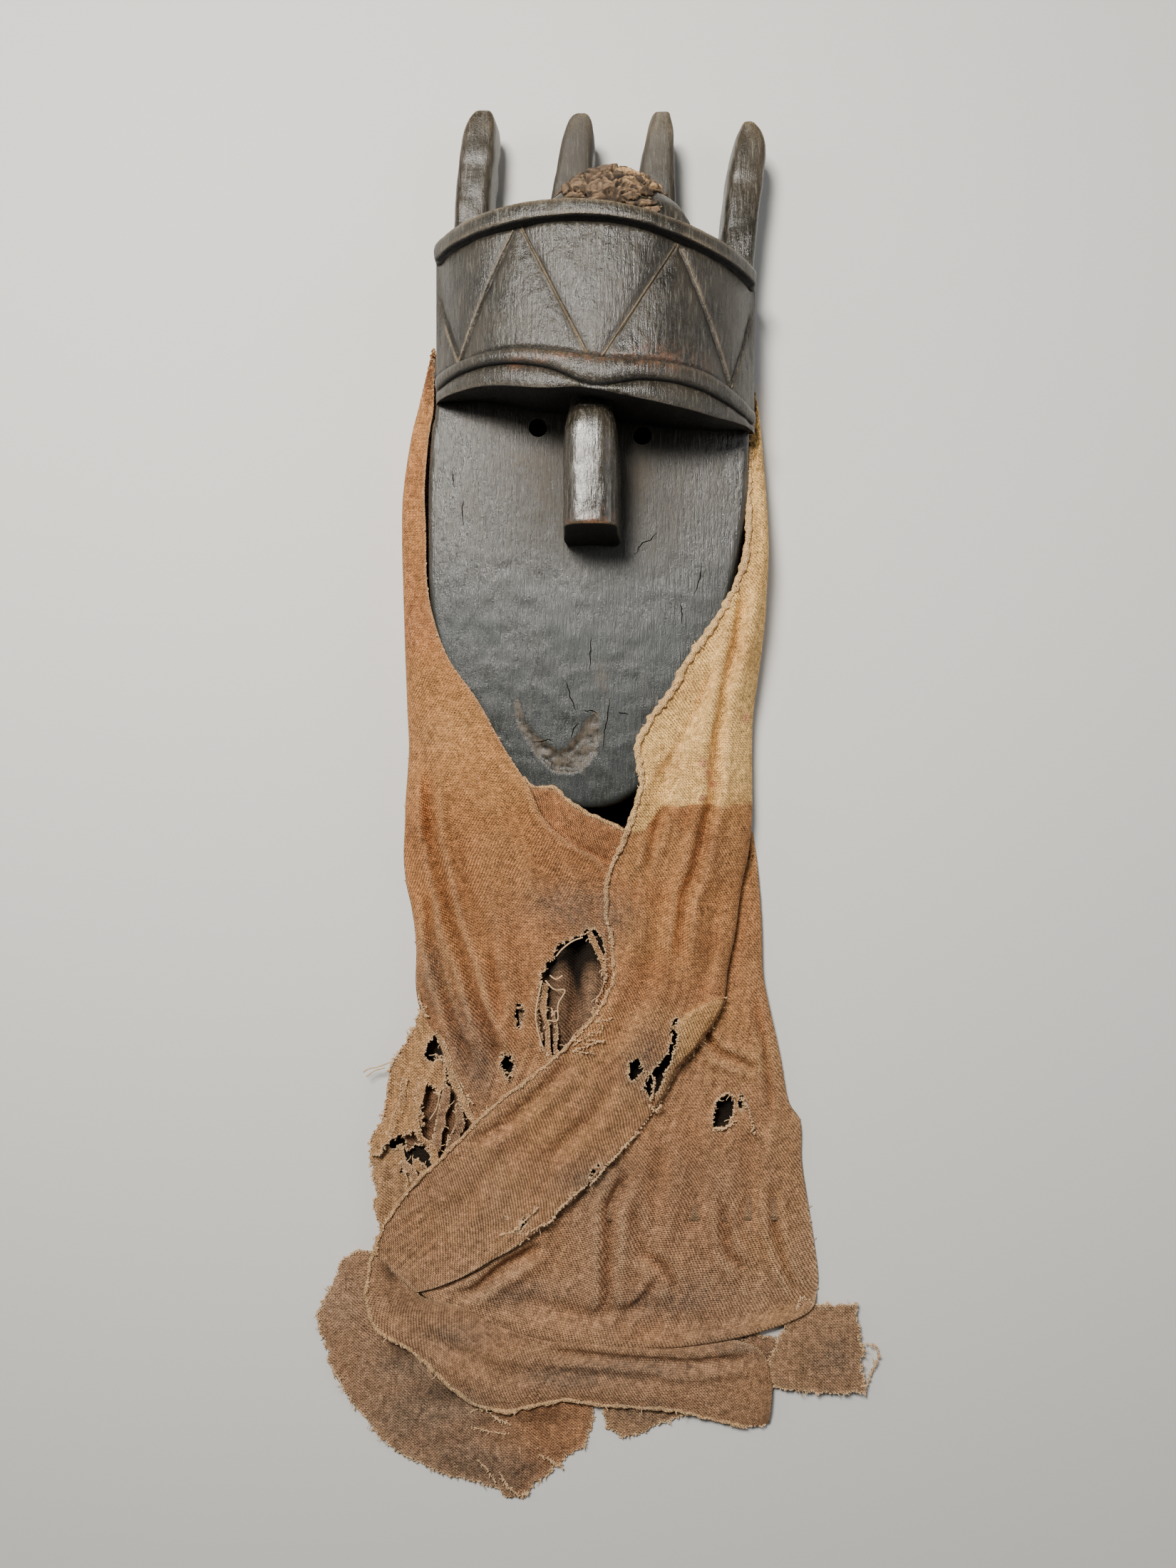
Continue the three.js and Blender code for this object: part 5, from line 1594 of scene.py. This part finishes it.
# Rags at the lower left
# Below a tear the left side's far layer shows: thin, pale and rotten, torn into strips that sag
# over one another and over dark hollows. The hollows and the farther rags are painted darker,
# as painted shade.
PALE_RAG = [
    (-133, -160), (-120, -156.7), (-117.2, -169.5), (-121.4, -179.5), (-128.6, -189.5), (-131.4, -201),
    (-124.3, -203.8), (-117.2, -199.5), (-110, -206.7), (-112.9, -219.5), (-120, -228.1), (-125.7, -221),
    (-131.4, -219.5), (-137.2, -225.3), (-134.3, -238.1), (-131.4, -252.4), (-142.9, -261),
    (-151.4, -262.4), (-160, -266.7), (-164, -270), (-168, -278), (-175, -281), (-175, -266.7),
    (-166, -252.4), (-162.5, -238.1), (-160, -218.1), (-157.2, -206.7), (-147.2, -189.5),
    (-138.6, -173.8),
]
INNER_RAG = [
    (-135, -208), (-120, -214), (-105.7, -223.8), (-99.4, -238.1), (-85.7, -251), (-78, -258),
    (-100, -281), (-117.2, -292), (-123, -295), (-127.2, -283.8), (-131.4, -271), (-140, -273.8),
    (-147, -277), (-149, -266.7), (-139, -255.3), (-137, -238.1),
]
LOW_RAG = [
    (-177, -276), (-168, -272), (-158, -277), (-151, -272), (-146, -284), (-152, -293), (-146, -299),
    (-140, -283), (-133, -289), (-125, -301), (-140, -321), (-148, -338), (-160, -352), (-168, -340),
    (-172, -323.8), (-171.5, -312.4), (-174, -295.3),
]
PALE_RAG_FOLDS = [
    ([(-137, -178), (-143, -208), (-140, -236), (-144, -256)], 5.0, 3.5),
    ([(-150, -200), (-152, -226), (-160, -250)], 3.5, 4.0), ([(-126, -170), (-131, -186)], 3.0, 3.0),
    ([(-132, -200), (-134, -216), (-150, -262)], 4.0, 3.0),
    ([(-156, -214), (-148, -244), (-152, -262)], 3.5, 3.0),
]
INNER_RAG_FOLDS = [
    ([(-127, -222), (-124, -250), (-126, -276)], 6.0, 3.0),
    ([(-112, -226), (-108, -250), (-114, -278)], 6.0, 3.5), ([(-136, -244), (-137, -262)], 3.0, 3.0),
    ([(-98, -244), (-100, -266)], 4.0, 3.0),
]
LOW_RAG_FOLDS = [
    ([(-162, -296), (-158, -318), (-160, -340)], 3.0, 4.0), ([(-172, -300), (-146, -306)], 2.5, 3.0),
]


def grid_over(outline, spacing):
    """A grid of flat points over an outline."""
    xs, ys = np.array(outline, float).T
    across = np.arange(xs.min() - 3, xs.max() + 3, spacing)
    down = np.arange(ys.max() + 3, ys.min() - 3, -spacing)
    x, y = np.meshgrid(across, down)
    return np.stack([x, y, np.zeros_like(x)], -1)


def torn_sheet(name, outline, height, folds, seed, tan, grey, soot_and_shade=0.0, loose=0.08, spacing=1.5, deep=0.0):
    """A loose torn sheet inside a ragged outline, with its folds, let settle from a height."""

    def gone(x, y):
        return -depth_in(x, y, outline, seed, 1.5)

    points = grid_over(outline, spacing)
    x, y = points[..., 0], points[..., 1]
    points[..., 2] = np.maximum(at_each(height, x, y), 1.5)
    start = folded(x, y, folds) + 0.9 * lumps(seed + 3, 12, x, y) + 0.5 * lumps(seed + 4, 5, x, y)
    points = settle(points, start, loose, 6.0, 5.0, 70)
    points[..., 2] += 0.25 * lumps(seed + 5, 4, x, y)
    return cloth_piece(name, points, -y, x, tan, grey, gone, 0.9, soot_and_shade=soot_and_shade, deep=deep)


def pale_height(x, y):
    return 13 + 5 * smooth(away_from(x, y, [(-140, -140), (-160, -205), (-180, -280)]), 0, 22)


def rag_soot(x, y):
    return 0.35 + 0.35 * lumps(193, 9, x, y)


rag, extra = torn_sheet("rag_pale", PALE_RAG, pale_height, PALE_RAG_FOLDS, 186, 0.3, 0.5)
RAG_TUFTS = [
    [(-121, -158, 22), (-118, -170, 21), (-122, -180, 20)],
    [(-116, -186, 24), (-110, -200, 24), (-108, -214, 23)],
    [(-104, -224, 24), (-100, -236, 24), (-92, -246, 24)],
    [(-160, -212, 17), (-157, -204, 17), (-150, -194, 18)],
    [(-122, -196, 22), (-114, -204, 22), (-114, -218, 21)],
    [(-136, -150, 20), (-132, -160, 21), (-128, -168, 21)],
    [(-110, -190, 23), (-106, -206, 24), (-101, -220, 24), (-92, -236, 24)],
    [(-150, -292, 13), (-140, -296, 13), (-134, -304, 13)],
]
RAG_STRINGS = [
    [(-135, -240, 19), (-139, -252, 19), (-135, -266, 18), (-125, -267, 17)],
    [(-181, -213, 12), (-176, -210, 13), (-168, -208, 14), (-158, -204, 15)],
    [(-179, -217, 11), (-172, -212, 12), (-163, -209, 14)],
    [(-118, -226, 20), (-121, -240, 18), (-127, -250, 18)],
    [(-148, -291, 14), (-145, -300, 14), (-147, -308, 13)],
    [(-143, -291, 14), (-141, -300, 14), (-142, -307, 13)],
    [(-112, -262, 16), (-114, -276, 15), (-120, -286, 14)],
]
# A rag strip has its line, width, tan, grey, soot and, for some, a share of painted shade.
RAG_STRIPS = {
    "torn": ([(-118, -180, 24), (-107, -214, 25), (-97, -238, 25), (-86, -253, 25)], 7.0, 0.35, 0.6),
    "pale": (
        [(-131, -216, 21), (-137, -244, 21), (-134, -262, 21), (-124, -272, 21), (-121, -288, 20)],
        6.5, 0.3, 0.5,
    ),
    "brown": ([(-112, -222, 20), (-117, -246, 19), (-122, -274, 19)], 8.0, 0.0, 0.6, 0.6),
    "far": ([(-104, -236, 20), (-103, -254, 19), (-112, -280, 18)], 9.0, 0.0, 0.6, 0.8),
    "side": ([(-146, -216, 20), (-151, -242, 19), (-160, -262, 18)], 6.0, 0.3, 0.5),
    "low": ([(-150, -284, 16), (-142, -292, 16), (-136, -304, 16)], 7.0, 0.2, 0.8, 0.3),
}
for name, look in RAG_STRIPS.items():
    extra += strip("rag_strip_" + name, *look)
extra.append(fuzz("rag_tufts", RAG_TUFTS, 0.4, 0.45))
extra.append(strings("rag_strings", RAG_STRINGS, 0.5, 0.4, 0.5))
# The inner rag is painted darker, as painted shade.
rag, extra = torn_sheet("rag_inner", INNER_RAG, 9.0, INNER_RAG_FOLDS, 196, 0.0, 0.5, 0.5, deep=0.4)
rag, extra = torn_sheet("rag_low", LOW_RAG, 8.0, LOW_RAG_FOLDS, 206, 0.35, 0.6, rag_soot)

# Foot of the cape
# The rolled front edge runs on round the lower left and along the floor as the cape's foot.
FOOT_STATIONS = [
    ((-150, -340, 12), (-169, -345, 11)), ((-146, -362, 10), (-174, -362, 12)),
    ((-142, -380, 9), (-177, -380, 12)), ((-136, -394, 8), (-178, -398, 12)),
    ((-118, -400, 7), (-169, -420, 12)), ((-92, -406, 6), (-138, -441, 12)),
    ((-60, -418, 6), (-101, -475, 11)), ((-25, -426, 6), (-67, -487, 10)),
    ((10, -430, 6), (-20, -479, 9)), ((45, -432, 6), (20, -484, 8)), ((80, -434, 6), (72, -488, 8)),
    ((110, -430, 6), (105, -497, 7)), ((140, -440, 6), (135, -502, 6)), ((150, -464, 5), (147, -500, 5)),
]
FOOT_FOLDS = [
    ([(-160, -404), (-120, -432), (-70, -458), (-20, -456), (60, -460)], 2.5, 7.0),
    ([(-30, -440), (30, -446), (78, -450), (130, -446)], 4.0, 4.0),
]
DARK_CORNER = [(108, -438), (136, -428), (156, -432), (163, -446), (150, -470), (119, -466)]


def foot_shade(x, y):
    """Painted shade in the pocket where the crossing meets the foot."""
    return 0.7 * spots(x, y, [(-158, -372, 10, 16)]) + 0.35 * spots(x, y, [(-140, -398, 20, 8)])


points, along, across, _ = stations(FOOT_STATIONS, 240, 44)
v = np.linspace(0, 1, points.shape[1])[None]
x, y = points[..., 0], points[..., 1]
rise = 4 * np.sin(np.pi * v) ** 0.8 * smooth(along, 30, 90)
points[..., 2] += rise + folded(x, y, FOOT_FOLDS) * smooth(1 - v, 0, 0.15)
points = settle(points, crumple(141, across, along, 0.5), 0.03, 3.0, 3.0, 80)
points[..., 2] += 0.22 * lumps(145, 5, x, y)
front = points[:, -1].copy()
cape_foot, extra = cloth_piece("cape_foot", points, along, across, 0.05, 0.75, deep=foot_shade)
front[:, 2] += 0.5
extra.append(rolled_edge("cape_foot_roll", front[:226], [1.7, 1.8, 1.8, 1.6, 1.3], 142, 0.45, 0.5))
extra.append(fuzz("foot_threads", [front + (0, 0, 0.8)], 0.4, 0.5, 0.4))
# The corner piece is sooty and near black: painted shade in the pocket inside the fold.
corner, extra = torn_sheet("foot_corner", DARK_CORNER, 3.5, [], 216, 0.0, 0.6, 0.9, 0.1)

# Flaps on the floor
# Loose ends of the same cloth that lie flat: a big worn one at the lower left, a small square
# one at the right and a narrow one between, all with fraying edges.
LEFT_FLAP = [
    (-168, -366), (-186, -360), (-200, -368), (-210, -392), (-221, -412), (-217, -426), (-208, -458),
    (-194, -481), (-171, -510), (-153, -525), (-119, -542), (-84, -550), (-72, -556), (-67, -562),
    (-52, -562), (-46, -553), (-26, -536), (-3, -519), (3, -502), (5, -485), (-10, -460), (-60, -430),
    (-120, -400),
]
SQUARE_FLAP = [
    (174, -398), (188, -404), (217, -402), (221, -432), (222, -455), (225, -474), (188, -474),
    (165, -472), (150, -470), (146, -452), (158, -425),
]
NARROW_FLAP = [
    (8, -470), (12, -488), (15, -503), (27, -512), (37, -511), (61, -501), (90, -488), (80, -470),
]
FLAP_FOLDS = [
    ([(-196, -380), (-178, -420), (-150, -460), (-120, -490)], 2.5, 8.0),
    ([(-150, -430), (-110, -474), (-60, -496)], 2.5, 7.0),
    ([(-130, -520), (-90, -512), (-50, -520)], 2.0, 6.0),
]
FLAP_TUFTS = [
    [(-95, -490, 6), (-84, -487, 7), (-74, -496, 7), (-62, -500, 7)],
    [(-96, -502, 6), (-80, -506, 7), (-62, -508, 6)], [(-90, -530, 5), (-82, -538, 5), (-75, -550, 4)],
    [(-72, -540, 5), (-66, -552, 4), (-56, -560, 4), (-47, -556, 4)],
    [(-40, -526, 4), (-30, -531, 4), (-20, -538, 4)], [(-208, -456, 4), (-202, -464, 5), (-197, -476, 4)],
    [(-58, -520, 5), (-46, -516, 5), (-38, -522, 5)],
]
SQUARE_TUFTS = [[(221, -436, 6), (232, -436, 6), (236, -444, 5), (226, -470, 4)]]
NARROW_FOLDS = [([(28, -480), (30, -505)], 2.0, 3.0)]
# Where the flap lies in shade: below the foot's rolled edge and in its worn hollow.
FLAP_SHADE = [(-108, -474, 30, 9), (-80, -496, 14, 4), (-150, -440, 14, 10), (-40, -494, 26, 7)]


def left_flap_height(x, y):
    edge = away_from(x, y, LEFT_FLAP + [LEFT_FLAP[0]])
    return 2.2 + (3 + 2.0 * lumps(151, 30, x, y)) * smooth(edge, 0, 30)


def left_flap_grey(x, y):
    return np.clip(1 - 0.55 * smooth(x + 0.3 * y, -250, -190), 0, 1)


def flap_shade(x, y):
    return 0.55 * spots(x, y, FLAP_SHADE)


def square_height(x, y):
    return 5 + 2.5 * smooth(x - y / 3, 290, 340)


flap, extra = torn_sheet(
    "flap_left", LEFT_FLAP, left_flap_height, FLAP_FOLDS, 153, 0.0, left_flap_grey, 0, 0.04, 1.6, flap_shade
)
extra.append(fuzz("flap_left_tufts", FLAP_TUFTS, 0.3, 0.5))
flap, extra = torn_sheet("flap_square", SQUARE_FLAP, square_height, [], 156, 0.15, 0.85, 0.1, 0.03)
extra.append(fuzz("flap_square_tufts", SQUARE_TUFTS, 0.3, 0.6))
flap, extra = torn_sheet("flap_narrow", NARROW_FLAP, 2.4, NARROW_FOLDS, 159, 0.2, 0.8, 0.0, 0.03)

# Back of the cape
# The part of the cloth behind the mask and below the tears: one dark, sooty layer that lies
# flat on the floor and joins the two sides. Where it shows through the tears it is painted
# near black, as painted shade.
BACK_STATIONS = [
    ((-120, 366, 2), (128, 328, 2)), ((-134, 312, 2), (133, 290, 2)), ((-142, 240, 2), (138, 250, 2)),
    ((-142, 158, 2), (136, 152, 2)), ((-141, 89, 2), (130, 100, 2)), ((-142, 19, 2), (127, 7, 2)),
    ((-144, -39, 2), (128, -40, 2)), ((-136, -110, 2), (130, -110, 2)), ((-136, -170, 2), (140, -170, 2)),
    ((-157, -225, 2), (150, -230, 2)), ((-172, -275, 2), (160, -285, 2)),
    ((-170, -338, 2), (165, -335, 2)),
]
# Places of the back that show through the tears, as spots, painted near black as shade there.
HOLLOWS = [
    (-122, -240, 44, 60), (-150, -290, 24, 30), (-57, -165, 14, 26), (-64, -207, 12, 20),
    (110, -243, 18, 22), (28, -6, 18, 16),
]


def back_shade(x, y):
    return 0.97 * np.clip(1.6 * spots(x, y, HOLLOWS), 0, 1)


points, along, across, _ = stations(BACK_STATIONS, 66, 60)
y = points[..., 1]
points[..., 2] = 1.9 + smooth(-y, 0, 40) * (2 + 1.4 * lumps(161, 26, points[..., 0], y))
cape_back, _ = cloth_piece(
    "cape_back", points, along, across, 0.1, 0.5, thick=1.0, soot_and_shade=0.8, deep=back_shade
)

# Camera, floor and light
# The camera looks straight down on the mask as it lies, on a plain pale floor that is no part of
# it, below one strong soft lamp past the horns and two weak ones at its sides.
CAMERA_AT = (-0.0075, 0.0292, 0.924)
FLOOR_HALF = 3.0
FLOOR_LEVEL = -0.0005
LAMP_AIM = np.array([0.0, 0.05, 0.05])
LAMPS = [
    ("key", (-0.40, 0.74, 1.44), 0.4, 51, (1.0, 0.965, 0.895)),
    ("left", (-1.30, 0.45, 0.90), 0.8, 5, (1.0, 0.98, 0.95)),
    ("right", (1.25, 0.35, 1.05), 0.9, 7, (0.96, 0.98, 1.0)),
]


def placed(name, data, at):
    """An object of the scene at a place, in metres."""
    thing = bpy.data.objects.new(name, data)
    thing.location = at
    bpy.context.scene.collection.objects.link(thing)
    return thing


camera_data = bpy.data.cameras.new("camera")
camera_data.sensor_fit = "VERTICAL"
camera_data.sensor_height = 36
camera_data.lens = 26.0
bpy.context.scene.camera = placed("camera", camera_data, CAMERA_AT)

floor_mesh = bpy.data.meshes.new("floor")
corners = [(-1, -1), (1, -1), (1, 1), (-1, 1)]
corners = [(x * FLOOR_HALF, y * FLOOR_HALF, FLOOR_LEVEL) for x, y in corners]
floor_mesh.from_pydata(corners, [], [(0, 1, 2, 3)])
floor = placed("floor", floor_mesh, (0, 0, 0))
pale, _, shader = new_material("pale floor")
shader.inputs["Base Color"].default_value = (0.62, 0.61, 0.59, 1)
shader.inputs["Roughness"].default_value = 0.8
floor.data.materials.append(pale)

for name, at, size, power, colour in LAMPS:
    lamp_data = bpy.data.lights.new(name, "AREA")
    lamp_data.size = size
    lamp_data.energy = power
    lamp_data.color = colour
    lamp = placed(name, lamp_data, at)
    lamp.rotation_euler = Vector(LAMP_AIM - np.array(at)).to_track_quat("-Z", "Y").to_euler()
world = bpy.data.worlds.new("studio")
world.use_nodes = True
sky = world.node_tree.nodes["Background"]
sky.inputs["Color"].default_value = (0.8, 0.85, 0.9, 1)
sky.inputs["Strength"].default_value = 0.07
bpy.context.scene.world = world
